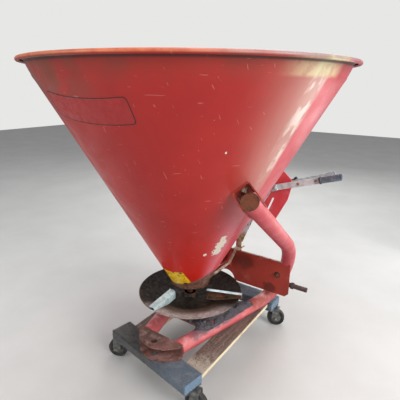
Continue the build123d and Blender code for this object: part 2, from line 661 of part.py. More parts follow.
# Castors: name, block, side, heading
castors = (("front_right", front_at, 1, 21.0), ("front_left", front_at, -1, -69.0),
           ("rear_right", rear_at, 1, 20.0), ("rear_left", rear_at, -1, 215.0))
plate_low = block_low - CASTOR_PLATE_T
fork_top = plate_low - FORK_GAP
king_low = fork_top - FORK_T - RACE_GAP - KING_HEAD
castor_x = BLOCK_L / 2 - CASTOR_INSET
for name, place, side, heading in castors:
    spot = place * Pos(side * castor_x, 0, 0)
    top_plate = Pos(0, 0, plate_low) * Box(
        *CASTOR_PLATE, CASTOR_PLATE_T, align=(Align.CENTER, Align.CENTER, Align.MIN))
    top_plate += upright(RACE_R, fork_top + RACE_GAP, plate_low)
    top_plate += upright(KING_R, king_low, plate_low)
    top_plate += upright(KING_R + KING_HEAD, king_low, king_low + KING_HEAD)
    save("castor_plate_" + name, spot * top_plate)
    yaw = Rot(0, 0, heading)
    leg_low = WHEEL_R - FORK_BELOW
    fork_line = [(FORK_HALF, leg_low), (FORK_HALF, fork_top), (-FORK_HALF, fork_top), (-FORK_HALF, leg_low)]
    fork = Pos(CASTOR_TRAIL - FORK_W / 2, 0, 0) * extrude(
        Plane.YZ * sheet_face(fork_line, FORK_T, FORK_BEND_R), FORK_W)
    fork += upright(RACE_R - FORK_T, fork_top - FORK_T, fork_top)
    fork -= upright(KING_R + RUN, fork_top - FORK_T, fork_top)
    fork += along(AXLE_R, -FORK_HALF - AXLE_PAST, FORK_HALF + AXLE_PAST, CASTOR_TRAIL, WHEEL_R)
    save("castor_fork_" + name, spot * yaw * fork)
    wheel = along(WHEEL_R, -WHEEL_W / 2, WHEEL_W / 2, CASTOR_TRAIL, WHEEL_R)
    wheel = fillet(wheel.edges(), WHEEL_EDGE_R)
    wheel -= along(AXLE_R + RUN, -WHEEL_W / 2, WHEEL_W / 2, CASTOR_TRAIL, WHEEL_R)
    save("castor_wheel_" + name, spot * yaw * wheel)
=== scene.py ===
import bpy
import bmesh
import math
import random
from functools import partial
from mathutils import Matrix, Vector, noise


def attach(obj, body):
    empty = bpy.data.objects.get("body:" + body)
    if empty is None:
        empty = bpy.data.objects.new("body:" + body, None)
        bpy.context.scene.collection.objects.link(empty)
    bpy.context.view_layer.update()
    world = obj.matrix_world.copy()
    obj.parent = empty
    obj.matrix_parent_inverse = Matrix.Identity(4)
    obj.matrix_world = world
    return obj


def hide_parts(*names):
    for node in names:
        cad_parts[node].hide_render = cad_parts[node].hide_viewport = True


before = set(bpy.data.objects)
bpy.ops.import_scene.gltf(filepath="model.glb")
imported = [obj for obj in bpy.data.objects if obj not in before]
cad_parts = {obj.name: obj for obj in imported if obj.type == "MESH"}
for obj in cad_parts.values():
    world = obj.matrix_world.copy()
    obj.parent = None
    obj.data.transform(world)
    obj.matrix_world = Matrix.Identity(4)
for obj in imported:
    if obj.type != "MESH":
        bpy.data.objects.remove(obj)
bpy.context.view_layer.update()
MM = 0.001
X = Vector((1, 0, 0))
Y = Vector((0, 1, 0))
Z = Vector((0, 0, 1))


def mm(*values):
    return Vector(values) * MM


def ink(colour):
    def linear(c):
        return c / 12.92 if c <= 0.04045 else ((c + 0.055) / 1.055) ** 2.4
    return (*[linear(c / 255) for c in colour], 1)


class Look:
    """Node tree of one material. tone is its colour so far, and each lay() adds a coat to it.

    Colours are written as they look in daylight: red, green and blue from 0 to 255.
    """

    def __init__(self, name, roughness, metallic=0):
        self.mat = bpy.data.materials.new(name)
        self.mat.use_nodes = True
        self.tree = self.mat.node_tree
        self.shader = self.tree.nodes["Principled BSDF"]
        self.put("Roughness", roughness)
        self.put("Metallic", metallic)
        self.place = self.node("TexCoord").outputs["Object"]
        self.tone = None

    def node(self, kind, **values):
        n = self.tree.nodes.new("ShaderNode" + kind)
        for key, value in values.items():
            setattr(n, key, value)
        return n

    def give(self, socket, value):
        if isinstance(value, bpy.types.NodeSocket):
            self.tree.links.new(value, socket)
        else:
            socket.default_value = value

    def put(self, socket_name, value):
        self.give(self.shader.inputs[socket_name], value)

    def noise(self, scale, detail=4, rough=0.55, place=None, distortion=0):
        n = self.node("TexNoise")
        self.give(n.inputs["Vector"], place or self.place)
        values = {"Scale": scale, "Detail": detail, "Roughness": rough, "Distortion": distortion}
        for key, value in values.items():
            n.inputs[key].default_value = value
        return n.outputs["Fac"]

    def cells(self, scale):
        n = self.node("TexVoronoi")
        self.give(n.inputs["Vector"], self.place)
        n.inputs["Scale"].default_value = scale
        return n.outputs["Distance"]

    def stretched(self, factors, turn=(0, 0, 0)):
        n = self.node("Mapping")
        self.give(n.inputs["Vector"], self.place)
        n.inputs["Rotation"].default_value = [math.radians(t) for t in turn]
        n.inputs["Scale"].default_value = factors
        return n.outputs["Vector"]

    def window(self, value, low, high, at_low=0, at_high=1):
        n = self.node("MapRange", interpolation_type="SMOOTHSTEP")
        for socket, v in zip(n.inputs, (value, low, high, at_low, at_high)):
            self.give(socket, v)
        return n.outputs["Result"]

    def spots(self, low, high, *texture, at=(0, 1)):
        # Window on the noise that the texture values make
        return self.window(self.noise(*texture), low, high, *at)

    def maths(self, what, a, b):
        n = self.node("Math", operation=what)
        self.give(n.inputs[0], a)
        self.give(n.inputs[1], b)
        return n.outputs["Value"]

    def plus(self, a, b):
        return self.maths("ADD", a, b)

    def times(self, product, *others):
        for other in others:
            product = self.maths("MULTIPLY", product, other)
        return product

    def mix(self, factor, a, b):
        n = self.node("Mix", data_type="RGBA")
        self.give(n.inputs[0], factor)
        for socket, colour in zip(n.inputs[6:8], (a, b)):
            self.give(socket, ink(colour) if isinstance(colour, tuple) else colour)
        return n.outputs[2]

    def mottled(self, a, b, *window_and_texture, at=(0, 1)):
        return self.mix(self.spots(*window_and_texture, at=at), a, b)

    def lay(self, colour, *factors):
        self.tone = self.mix(self.times(*factors), self.tone, colour)

    def part(self, axis, vector=None):
        n = self.node("SeparateXYZ")
        self.give(n.inputs[0], vector or self.place)
        return n.outputs[axis]

    def facing_up(self):
        return self.part("Z", self.node("NewGeometry").outputs["Normal"])

    def turn(self):
        # Angle round the Z axis, in degrees
        return self.times(self.maths("ARCTAN2", self.part("Y"), self.part("X")), 180 / math.pi)

    def length(self, vector):
        n = self.node("VectorMath", operation="LENGTH")
        self.give(n.inputs[0], vector)
        return n.outputs["Value"]

    def out(self):
        # Distance from the Z axis
        return self.length(self.stretched((1, 1, 0)))

    def near(self, point, reach, ragged, scale, soft):
        # 1 inside a ragged blot round a point, 0 outside; reach is its half sizes, in mm like the point
        n = self.node("Mapping", vector_type="POINT")
        self.give(n.inputs["Vector"], self.place)
        n.inputs["Location"].default_value = [-p / r for p, r in zip(point, reach)]
        n.inputs["Scale"].default_value = [1 / (r * MM) for r in reach]
        wander = self.times(self.maths("SUBTRACT", self.noise(scale), 0.5), 2 * ragged)
        far = self.plus(self.length(n.outputs["Vector"]), wander)
        return self.window(far, 1 - soft, 1 + soft, 1, 0)

    def done(self, height, distance, strength, rough=None):
        """The finished material; rough is the scale, detail, lowest and highest value of its roughness."""
        self.put("Base Color", self.tone)
        if rough:
            self.put("Roughness", self.spots(0.3, 0.7, *rough[:2], at=rough[2:]))
        n = self.node("Bump")
        n.inputs["Strength"].default_value = strength
        n.inputs["Distance"].default_value = distance
        self.give(n.inputs["Height"], height)
        self.put("Normal", n.outputs["Normal"])
        return self.mat


RUST_DARK = (62, 36, 25)
RUST_MID = (112, 62, 36)
RUST_PALE = (158, 98, 58)
DUST = (150, 138, 122)
BARE = (214, 205, 190)


def rust_of(look, scale=60):
    base = look.mottled(RUST_DARK, RUST_MID, 0.35, 0.62, scale, 8, 0.65)
    return look.mottled(base, RUST_PALE, 0.58, 0.75, scale * 2.3, 6, 0.7)


def add_dust(look, amount, low=0.45, high=0.75, shade=DUST):
    # Dust lies on faces that look up
    look.lay(shade, look.window(look.facing_up(), 0.25, 0.9), look.spots(low, high, 38, 7, 0.6), amount)


def scratches(look, stretch, turn, low=0.70, high=0.76, scale=22):
    return look.spots(low, high, scale, 2, 0.4, look.stretched(stretch, turn))


def worn_paint(name, deep, mid, pale, rust, dust, edge=None, stains=(), shade=DUST, painted_underside_shade=None):
    """Old paint with rust, chips, scratches and dust.

    rust is the noise value from which it is eaten, edge the heights of a top edge painted pale in spots, as
    rubbed paint and as a painted highlight. A stain has a point, half sizes and a colour. The last argument
    is the colour of what looks down: painted shade on the undersides.
    """
    look = Look(name, 0.42)
    look.tone = look.mottled(deep, mid, 0.3, 0.7, 4, 5)
    look.lay(pale, look.spots(0.5, 0.8, 17, 7, 0.65, at=(0, 0.55)))
    eaten = look.spots(rust, rust + 0.09, 24, 9, 0.68)
    look.lay(rust_of(look), eaten)
    look.lay(BARE, look.window(look.cells(170), 0.04, 0.09, 1, 0), look.spots(0.56, 0.66, 9))
    look.lay(pale, scratches(look, (1, 9, 1.6), (20, 10, 35)), 0.5)
    for point, reach, stain in stains:
        look.lay(stain, look.near(point, reach, 0.7, 40, 0.4), 0.75)
    # Painted shade: faces that look down take a deeper colour
    if painted_underside_shade:
        look.lay(painted_underside_shade, look.window(look.facing_up(), 0.3, -0.6, 0, 0.8))
    add_dust(look, dust, shade=shade)
    # Pale spots at and above the given heights: rubbed paint and a painted highlight on the top edge
    if edge:
        look.lay(BARE, look.window(look.part("Z"), *edge), look.spots(0.3, 0.45, 30), 0.7)
    pits = look.times(eaten, -1.5)
    return look.done(look.plus(look.noise(240, 5), pits), 0.0006, 0.5, (30, 6, 0.34, 0.64))


def fade_and_painted_sheen(look, high, turn):
    """Flank on the right made pale, partly faded paint and partly a painted reflection: pale above, rose
    below and beyond, with painted sheen streaks between and a painted yellow reflection on the collar.
    """
    # Painted reflection mixed with faded paint across the right flank
    fade_and_sheen = look.times(look.maths("POWER", turn(-47, -13), 2), turn(75, 25),
                      look.spots(0.2, 0.7, 7, 5, 0.6, look.stretched((1, 1, 0.22)), at=(0.78, 1)))
    chalk_and_sheen_tone = look.mix(high(0.92, 0.66), (206, 166, 154), (218, 132, 146))
    look.lay(look.mix(turn(-13, -9), chalk_and_sheen_tone, (222, 100, 112)), fade_and_sheen, 0.68)
    # Painted sheen: bright streaks down the flank
    sheen_streaks = look.spots(0.46, 0.60, 30, 3, 0.5, look.stretched((1, 1, 0.07)), at=(0.15, 1))
    look.lay((252, 238, 226), turn(-20, -15), turn(-9.5, -13), sheen_streaks, high(0.80, 1.00), 0.65)
    # Painted reflection: pale yellow patch on the collar
    look.lay((228, 224, 172), turn(-33, -14), high(1.180, 1.192),
             turn(-2, -10), look.spots(0.34, 0.56, 34, 5, at=(0.5, 1)), 0.8)


# Bare places on the cone: point, half sizes, in mm
BARE_PATCHES = (
    ((195, -82, 603), (21, 22, 34)),
    ((180, -78, 573), (19, 19, 27)),
    ((213, -88, 639), (11, 11, 13)),
    ((206, -70, 612), (9, 9, 24)),
    ((150.5, -115, 565.5), (6, 6, 7)),
    ((320, -274, 983.5), (3, 3, 5)),
)


def hopper_paint(inside):
    look = Look("hopper_inside" if inside else "hopper_paint", 0.36)
    look.put("Specular IOR Level", 0.38)
    height = look.part("Z")
    high = partial(look.window, height)
    turn = partial(look.window, look.turn())
    look.tone = look.mottled((158, 24, 22), (174, 34, 28), 0.3, 0.7, 2.6, 4)
    look.lay((196, 34, 22), high(0.72, 0.42))
    if not inside:
        fade_and_painted_sheen(look, high, turn)
    # Grime under the lip, brown on the left, with runs below it, and a dark line under the lip roll that is
    # painted shadow
    runs = look.spots(0.42, 0.72, 11, 6, 0.6, look.stretched((1, 1, 0.12)))
    look.lay((112, 62, 46), high(1.15, 1.215), look.window(runs, 0, 1, 0.45, 1), 0.5)
    look.lay((104, 64, 42), turn(-74, -96), high(1.04, 1.17),
             turn(-172, -125), look.spots(0.36, 0.62, 12, 7, 0.6), 0.6)
    # Painted shadow: dark line on the collar under the lip roll
    look.lay((58, 26, 22), high(1.2185, 1.2235), look.window(look.out(), 0.5575, 0.5545), 0.8)
    # Painted highlight on the lip top: warm orange on the near and left side, grey on the right and far side
    grey_lip_highlight_side = look.times(turn(-70, -20), turn(165, 70))
    look.lay(look.mix(grey_lip_highlight_side, (222, 128, 88), (160, 138, 142)), high(1.2275, 1.2315),
             look.spots(0.3, 0.6, 16, 7, at=(0.4, 0.85)))
    look.lay((104, 34, 34), runs, 0.14)
    # Rusty neck
    neck = look.window(look.plus(height, look.times(look.noise(20, 6), 0.09)), 0.50, 0.405)
    look.lay(rust_of(look), neck, look.spots(0.42, 0.60, 46, 8, 0.7))
    # Grey splash round the outlet, higher on the right
    rise = look.times(turn(-58, 0, 0, 0.042), turn(160, 60))
    splash = look.mottled((84, 64, 50), (124, 102, 90), 0.35, 0.65, 70, 6)
    look.lay(splash, look.window(look.maths("SUBTRACT", height, rise), 0.418, 0.396),
             look.spots(0.30, 0.45, 30, 7, 0.65, at=(0.5, 0.9)))
    # Fine pale scratches and pin holes
    fine = look.maths("MAXIMUM", scratches(look, (1.2, 1.2, 9), (0, 28, 0), 0.715, 0.745, 16),
                      scratches(look, (7, 1, 1.2), (30, 0, 50), 0.72, 0.75, 18))
    look.lay((214, 150, 138), fine, 0.27)
    look.lay((206, 150, 132), look.window(look.cells(34), 0.045, 0.075, 1, 0), look.spots(0.5, 0.6, 5), 0.34)
    if inside:
        look.lay((150, 104, 92),
                 look.spots(0.40, 0.75, 10, 8, 0.68, look.stretched((1, 1, 0.3)), at=(0, 0.75)))
        look.lay((196, 176, 160), look.spots(0.60, 0.70, 60, 6, 0.7, at=(0, 0.6)))
        look.lay((120, 96, 82), high(0.9, 0.4, 0, 0.7))
    else:
        for point, reach in BARE_PATCHES:
            look.lay(BARE, look.near(point, reach, 0.85, 85, 0.1))
    grooves = look.times(fine, -1.2)
    return look.done(look.plus(look.noise(330, 3), grooves), 0.00025, 0.35, (14, 6, 0.3, 0.46))


def rusty_metal(name, base=None, bright=0, scale=60, dust=0.45, shade=DUST):
    look = Look(name, 0.8)
    look.tone = rust_of(look, scale)
    if base:
        look.lay(base, look.spots(0.46 - bright, 0.62 - bright, scale * 0.4, 8, 0.6))
    add_dust(look, dust, shade=shade)
    return look.done(look.noise(scale * 5, 8, 0.7), 0.0008, 0.7, (70, 6, 0.62, 0.9))


def disc_rust(name):
    """Brown-black dish whose darkness is partly painted shade; on the rear side a grey band round the slope,
    dust and painted light together, and a paler rim edge that is a painted highlight.
    """
    look = Look(name, 0.7)
    look.put("Specular IOR Level", 0.2)
    radius = partial(look.window, look.out())
    turn = partial(look.window, look.turn())
    # Near-black base: partly the dish's oily colour, partly painted shade
    look.tone = look.mottled((16, 15, 10), (44, 32, 24), 0.34, 0.68, 46, 8, 0.65)
    look.lay(RUST_MID, look.spots(0.60, 0.74, 95, 6, 0.7, at=(0, 0.7)))
    rear = look.times(turn(4, -30), turn(-119, -98))
    look.lay(look.mottled((84, 62, 48), (116, 98, 86), 0.35, 0.65, 20, 6, 0.65),
             rear, radius(0.112, 0.150, 0, 0.75))
    look.lay(look.mottled((214, 204, 202), (148, 136, 134), 0.4, 0.6, 240, 4),
             rear, radius(0.150, 0.200), look.spots(0.30, 0.56, 60, 8, 0.7, at=(0.25, 0.9)))
    # Painted highlight: paler rim edge on the rear side
    look.lay((120, 96, 84), radius(0.2135, 0.2185), turn(10, -30, 0, 0.6))
    return look.done(look.noise(260, 8, 0.7), 0.0007, 0.7, (70, 6, 0.5, 0.85))


def plated(name, pale, dull, spots=0.64, roughness=0.36, dust=0.2, metal=0.75):
    look = Look(name, roughness, metal)
    look.tone = look.mix(look.window(look.cells(55), 0, 0.9), pale, dull)
    look.lay(dull, look.spots(0.45, 0.7, 28, 7, 0.65, at=(0, 0.6)))
    eaten = look.spots(spots, spots + 0.07, 40, 9, 0.7)
    look.lay(rust_of(look, 90), eaten)
    add_dust(look, dust)
    look.put("Metallic", look.maths("SUBTRACT", metal, look.times(eaten, metal)))
    return look.done(look.noise(200, 5), 0.0003, 0.4, (50, 6, roughness - 0.05, roughness + 0.2))


def lever_steel(name):
    """Bright bar above, flaking pale coat with bare brown steel on the arm below."""
    look = Look(name, 0.38, 0.1)
    high = partial(look.window, look.part("Z"))
    bar = look.mottled((224, 244, 244), (190, 208, 210), 0.35, 0.65, 34, 6)
    bar = look.mottled(bar, (168, 120, 104), 0.70, 0.76, 60, 8, 0.7)
    flake = look.spots(0.40, 0.50, 55, 9, 0.72, look.stretched((1, 1, 0.55)))
    arm = look.mix(flake, (120, 92, 62), (224, 224, 228))
    arm = look.mottled(arm, (176, 184, 196), 0.55, 0.7, 130, 5, at=(0, 0.7))
    tip = look.mottled((196, 172, 136), (150, 122, 88), 0.4, 0.6, 70, 6)
    arm = look.mix(high(0.505, 0.475), arm, tip)
    look.tone = look.mix(high(0.715, 0.690), bar, arm)
    return look.done(look.plus(flake, look.noise(200, 5)), 0.0004, 0.4, (50, 6, 0.34, 0.6))


def shutter_steel(name):
    """Rusty plate whose tongue is worn pale."""
    look = Look(name, 0.6, 0.1)
    worn = look.mottled((206, 190, 168), (140, 116, 94), 0.36, 0.62, 70, 7, 0.65)
    look.tone = look.mix(look.window(look.part("Y"), 0.095, 0.125), rust_of(look, 70), worn)
    return look.done(look.noise(260, 7, 0.7), 0.0005, 0.5, (70, 6, 0.5, 0.8))


def plastic(name, base, worn, roughness=0.45):
    look = Look(name, roughness)
    look.tone = look.mottled(base, worn, 0.42, 0.72, 60, 7, 0.6)
    add_dust(look, 0.35)
    return look.done(look.noise(700, 3), 0.0002, 0.4, (90, 5, roughness - 0.06, roughness + 0.2))


def carpet(name, base, tips):
    look = Look(name, 0.95)
    look.put("Sheen Weight", 0.35)
    tuft = look.cells(420)
    look.tone = look.mix(look.window(tuft, 0.1, 0.7), base, tips)
    look.lay((128, 134, 140), look.spots(0.45, 0.75, 22, 7, 0.65, at=(0, 0.7)))
    add_dust(look, 0.4, 0.5, 0.8, (140, 132, 120))
    # Painted shade: the blocks grow darker towards their left end
    left_end_shade = look.mottled((24, 24, 18), (64, 54, 40), 0.4, 0.6, 30, 6)
    look.lay(left_end_shade, look.window(look.part("X"), 0.14, -0.06, 0, 0.85))
    return look.done(look.plus(tuft, look.noise(500, 4)), 0.0016, 0.9)


def board(name, sawn=False):
    look = Look(name, 0.78)
    grain = look.noise(3.2, 7, 0.6, look.stretched((34, 1.3, 34)), 1.2)
    veins = look.window(grain, 0.35, 0.65)
    along = partial(look.window, look.part("Y"))
    if sawn:
        look.tone = look.mix(veins, (244, 234, 202), (208, 190, 152))
        look.lay((120, 94, 62), look.spots(0.60, 0.72, 26, 6, at=(0, 0.7)))
    else:
        look.tone = look.mix(veins, (146, 126, 112), (104, 86, 76))
        pale = look.times(look.spots(0.52, 0.68, 9, 7, 0.6, at=(0, 0.85)), along(-0.06, -0.15, 0.2, 1))
        look.lay((196, 186, 170), look.maths("MAXIMUM", pale, along(-0.12, -0.19, 0, 0.75)))
        look.lay((66, 54, 54), look.spots(0.50, 0.60, 150, 6, 0.75), look.spots(0.40, 0.62, 12, 7, 0.65))
        look.lay((176, 150, 154), look.spots(0.60, 0.68, 180, 4))
    return look.done(look.plus(grain, look.noise(160, 5)), 0.0009, 0.6)


def tread(name):
    look = Look(name, 0.75)
    look.tone = look.mottled((38, 38, 40), (70, 68, 66), 0.4, 0.66, 45, 7, 0.65)
    add_dust(look, 0.5)
    return look.done(look.noise(320, 5), 0.0004, 0.5)


def label_look(name, base, worn, smudge):
    look = Look(name, 0.4)
    look.tone = look.mottled(base, worn, 0.4, 0.7, 40, 6)
    look.lay(smudge, look.spots(0.62, 0.66, 52, 3, 0.5))
    return look.done(look.noise(260, 4), 0.0002, 0.3, (60, 5, 0.34, 0.56))


def soil(name, deep, mid, pale):
    look = Look(name, 0.95)
    grain = look.cells(300)
    look.tone = look.mix(look.window(grain, 0.1, 0.6), deep, mid)
    look.lay(pale, look.spots(0.57, 0.64, 300, 4, 0.7))
    look.lay(mid, look.spots(0.5, 0.75, 24, 6, 0.6, at=(0, 0.6)))
    return look.done(look.plus(grain, look.noise(420, 5)), 0.0016, 0.9)


MATS = {
    "hopper": hopper_paint(False),
    "hopper_in": hopper_paint(True),
    "red": worn_paint("red_paint", (150, 42, 40), (176, 60, 58), (206, 128, 124), 0.64, 0.4),
    # Tube: pale pink on faces that look up is dust and painted highlight together; the deeper red below is
    # painted shade
    "tube": worn_paint("tube_paint", (204, 92, 96), (228, 128, 130), (244, 186, 186), 0.68, 0.6,
                       shade=(238, 178, 176), painted_underside_shade=(182, 56, 70),
                       stains=(((150, 70, 200), (36, 170, 16), (104, 94, 104)),
                               ((112, -80, 200), (26, 60, 18), (98, 86, 94)),
                               ((196, 300, 196), (44, 90, 34), (140, 66, 48)))),
    "plate": worn_paint("plate_paint", (146, 46, 36), (172, 60, 46), (190, 108, 92), 0.60, 0.2,
                        edge=(0.3965, 0.3995), stains=(((230, 313, 255), (34, 30, 24), (82, 40, 28)),
                                                       ((90, 313, 352), (60, 30, 36), (104, 42, 32)))),
    "clevis": worn_paint("clevis_paint", (108, 72, 64), (134, 92, 86), (180, 140, 136), 0.54, 0.9,
                         shade=(160, 128, 126),
                         stains=(((-40, -230, 204), (70, 50, 20), (92, 68, 60)),
                                 ((0, -215, 172), (110, 30, 26), (70, 54, 34)))),
    "bead": worn_paint("bead_paint", (150, 62, 60), (186, 86, 84), (214, 136, 130), 0.56, 0.3),
    "crimson": worn_paint("crimson_paint", (226, 74, 84), (240, 106, 112), (244, 156, 160), 0.76, 0.1,
                          edge=(0.8150, 0.8200)),
    "saddle": worn_paint("saddle_paint", (142, 42, 32), (172, 58, 44), (196, 98, 74), 0.56, 0.15),
    "rust": rusty_metal("rusty_steel"),
    "shaft": rusty_metal("shaft_rust", (44, 34, 28), 0.16, 60, 0.15),
    "pin": rusty_metal("pin_rust", (74, 58, 56), 0.12, 60, 0.4),
    "disc": disc_rust("disc_rust"),
    "cap": rusty_metal("tube_cap_rust", (112, 60, 36), 0.1, 90, 0.1),
    "cast": rusty_metal("cast_case", (92, 100, 112), 0.14, 46, 0.7, (126, 132, 140)),
    "galvanised": plated("galvanised", (228, 248, 250), (180, 204, 210), 0.72, 0.3, 0.15, 0.25),
    "lever": lever_steel("lever_steel"),
    "stop": plated("stop_steel", (216, 236, 238), (172, 194, 198), 0.70, 0.34, 0.1, 0.15),
    "shutter": shutter_steel("shutter_steel"),
    "fork": plated("castor_zinc", (144, 148, 146), (90, 92, 90), 0.60, 0.42, 0.35, 0.6),
    "hub": plastic("castor_hub", (96, 96, 94), (142, 140, 134), 0.5),
    "bolt": plated("bolt_zinc", (176, 172, 160), (112, 106, 98), 0.56, 0.42, 0.2),
    "grip": plastic("grip_plastic", (88, 106, 118), (126, 144, 154)),
    "black": plastic("black_plastic", (30, 30, 32), (58, 56, 56), 0.38),
    "pale_bolt": plated("pale_bolt", (206, 196, 176), (150, 132, 110), 0.6, 0.5, 0.1),
    "grip_end": plastic("grip_end_plastic", (50, 66, 80), (80, 98, 112), 0.3),
    # Inner faces of the vane channels: rust, made darker as painted shade inside the channel
    "vane_inside_rust_and_shade": rusty_metal("vane_inside_rust_and_shade", (84, 66, 48), 0.06, 60, 0.2),
    "yellow": label_look("yellow_label", (238, 196, 34), (206, 158, 30), (46, 38, 24)),
    "panel": label_look("blank_panel", (158, 22, 24), (164, 30, 28), (150, 26, 26)),
    "line": label_look("panel_line", (26, 12, 14), (38, 18, 20), (70, 26, 28)),
    "soil": soil("dark_soil", (34, 31, 33), (84, 78, 84), (172, 170, 178)),
    "clevis_dirt": soil("brown_dirt", (86, 62, 54), (120, 92, 84), (150, 124, 116)),
    "carpet": carpet("grey_carpet", (32, 40, 50), (84, 102, 120)),
    # End faces in a lighter blue: painted light on the lit ends of the blocks
    "carpet_end_lit": carpet("carpet_end_lit", (58, 84, 112), (112, 146, 176)),
    "plank": board("plank_top"),
    "sawn": board("plank_sawn", sawn=True),
    "tread": tread("tread_rubber"),
}

CORNERS = ("front_right", "front_left", "rear_right", "rear_left")
# look: the nodes that wear it
NODE_LOOKS = {
    "hopper": ("hopper",), "rust": ("hopper_floor", "shutter_clips", "agitator", "drive_shaft"),
    "shutter": ("shutter",), "disc": ("spinner_disc",), "shaft": ("spinner_shaft",), "galvanised": ("vanes",),
    "cast": ("gearbox",), "clevis": ("gearbox_carrier", "rear_clevis"), "pin": ("link_pins",),
    "red": ("mast",), "tube": ("side_tube_right", "side_tube_left"), "plate": ("cross_plate", "gussets"),
    "saddle": ("saddle_right", "saddle_left"), "crimson": ("quadrant_plate",), "bolt": ("lever_pivot",),
    "lever": ("flow_lever",), "grip": ("lever_grip",), "stop": ("rate_stop",), "black": ("stop_knob",),
    "plank": ("dolly_plank_right", "dolly_plank_left"), "carpet": ("dolly_bar_front", "dolly_bar_rear"),
    "fork": ["castor_" + kind + corner for kind in ("plate_", "fork_") for corner in CORNERS],
    "tread": ["castor_wheel_" + corner for corner in CORNERS],
}
for look_name, node_names in NODE_LOOKS.items():
    for node_name in node_names:
        node_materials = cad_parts[node_name].data.materials
        node_materials.clear()
        node_materials.append(MATS[look_name])


def piece(name, part, looks, body, replaces=(), sharp=35, pick=None, marks=None):
    """A mesh piece in the row frame. looks is one name or several; pick or marks give each face its look."""
    verts, faces = part
    mesh = bpy.data.meshes.new(name)
    mesh.from_pydata([tuple(v) for v in verts], [], faces)
    build = bmesh.new()
    build.from_mesh(mesh)
    bmesh.ops.recalc_face_normals(build, faces=build.faces)
    build.to_mesh(mesh)
    build.free()
    for look_name in [looks] if isinstance(looks, str) else looks:
        mesh.materials.append(MATS[look_name])
    for face in mesh.polygons:
        face.use_smooth = True
        if pick:
            face.material_index = pick(face.center, face.normal)
        if marks:
            face.material_index = marks[face.index]
    mesh.set_sharp_from_angle(angle=math.radians(sharp))
    obj = bpy.data.objects.new(name, mesh)
    bpy.context.scene.collection.objects.link(obj)
    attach(obj, body)
    if replaces:
        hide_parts(*replaces)


def rotated(degrees):
    return Matrix.Rotation(math.radians(degrees), 4, "Z")


def basis(origin, axis, side=None):
    """Matrix whose Z is the axis and whose X is near the side."""
    z = Vector(axis).normalized()
    x = Vector(side) if side else (X if abs(z.x) < 0.9 else Y)
    x = (x - z * x.dot(z)).normalized()
    return Matrix.Translation(origin) @ Matrix((x, z.cross(x), z)).transposed().to_4x4()


def joined(parts):
    verts, faces = [], []
    for v, f in parts:
        start = len(verts)
        verts += v
        faces += [[i + start for i in face] for face in f]
    return verts, faces


def moved(part, matrix):
    return [matrix @ Vector(v) for v in part[0]], part[1]


def polar(r, degrees):
    a = math.radians(degrees)
    return r * math.cos(a), r * math.sin(a)


def arc(centre, r, degrees):
    return [(centre[0] + x, centre[1] + y) for x, y in [polar(r, d) for d in degrees]]


def oval(rx, ry, n):
    return [(rx * math.cos(2 * math.pi * k / n), ry * math.sin(2 * math.pi * k / n)) for k in range(n)]


def ring(centre, axis, r, n, squash=1, side=None):
    turn = basis(centre, axis, side)
    return [turn @ mm(x, y, 0) for x, y in oval(r * squash, r, n)]


def strips(n, rings, closed=False):
    """Faces between rings of n points each, and from the last ring back to the first where closed."""
    pairs = [(a * n, (a + 1) % rings * n) for a in range(rings if closed else rings - 1)]
    return [[a + k, a + (k + 1) % n, b + (k + 1) % n, b + k] for a, b in pairs for k in range(n)]


def ends(n, rings):
    return [list(range(n))[::-1], [(rings - 1) * n + k for k in range(n)]]


def lathe(profile, steps, closed=False, wave=None, unit=MM):
    """Ring faces of a profile of (radius, height), round the local Z."""
    verts, faces = [], []
    for k in range(steps):
        a = 2 * math.pi * k / steps
        for r, z in profile:
            r, z = r * unit, z * unit
            r = r * wave(a, z) if wave else r
            verts.append(Vector((r * math.cos(a), r * math.sin(a), z)))
    n = len(profile)
    for k in range(steps):
        nxt = (k + 1) % steps
        for i in range(n if closed else n - 1):
            j = (i + 1) % n
            faces.append([k * n + i, nxt * n + i, nxt * n + j, k * n + j])
    if not closed:
        faces.append([k * n for k in range(steps)][::-1])
        faces.append([k * n + n - 1 for k in range(steps)])
    return verts, faces


def extruded(points, depth, matrix, bevel):
    """Flat outline in local X and Y, raised along local Z, with a small bevelled top edge."""
    n = len(points)
    cx, cy = sum(p[0] for p in points) / n, sum(p[1] for p in points) / n
    top = []
    for x, y in points:
        d = math.hypot(x - cx, y - cy) or 1
        top.append((x - (x - cx) / d * bevel, y - (y - cy) / d * bevel))
    loops = ((points, 0), (points, depth - bevel), (top, depth))
    return [matrix @ mm(x, y, z) for loop, z in loops for x, y in loop], strips(n, 3) + ends(n, 3)


WASHER = 1.6


def washer(r):
    t = WASHER
    profile = ((r * 0.5, 0), (r * 0.96, 0), (r, t * 0.3), (r, t * 0.8), (r * 0.94, t), (r * 0.5, t))
    return lathe(profile, 24, True)


def stud(r, length):
    """Threaded stud end: a fine zigzag of crests."""
    pitch = r * 0.32
    turns = max(2, int(length / pitch))
    crests = [(r * (1 - 0.12 * (k % 2)), k * pitch / 2) for k in range(2 * turns)]
    return lathe(crests + [(r * 0.8, turns * pitch)], 16)


def bolt(place, axis, flats, head, washer_r, stick, spin):
    """Hexagon head or nut, chamfered and slightly domed, on a washer if it has one; sizes in mm."""
    turn = basis(place, axis) @ rotated(spin)
    seat = turn @ Matrix.Translation((0, 0, WASHER * MM if washer_r else 0))
    r = flats / math.sqrt(3)
    parts = [moved(lathe(((r, 0), (r, head * 0.78), (r * 0.88, head), (r * 0.55, head * 1.03)), 6), seat)]
    if washer_r:
        parts.append(moved(washer(washer_r), turn))
    if stick:
        parts.append(moved(stud(flats * 0.3, stick), seat @ Matrix.Translation((0, 0, head * MM))))
    return joined(parts)


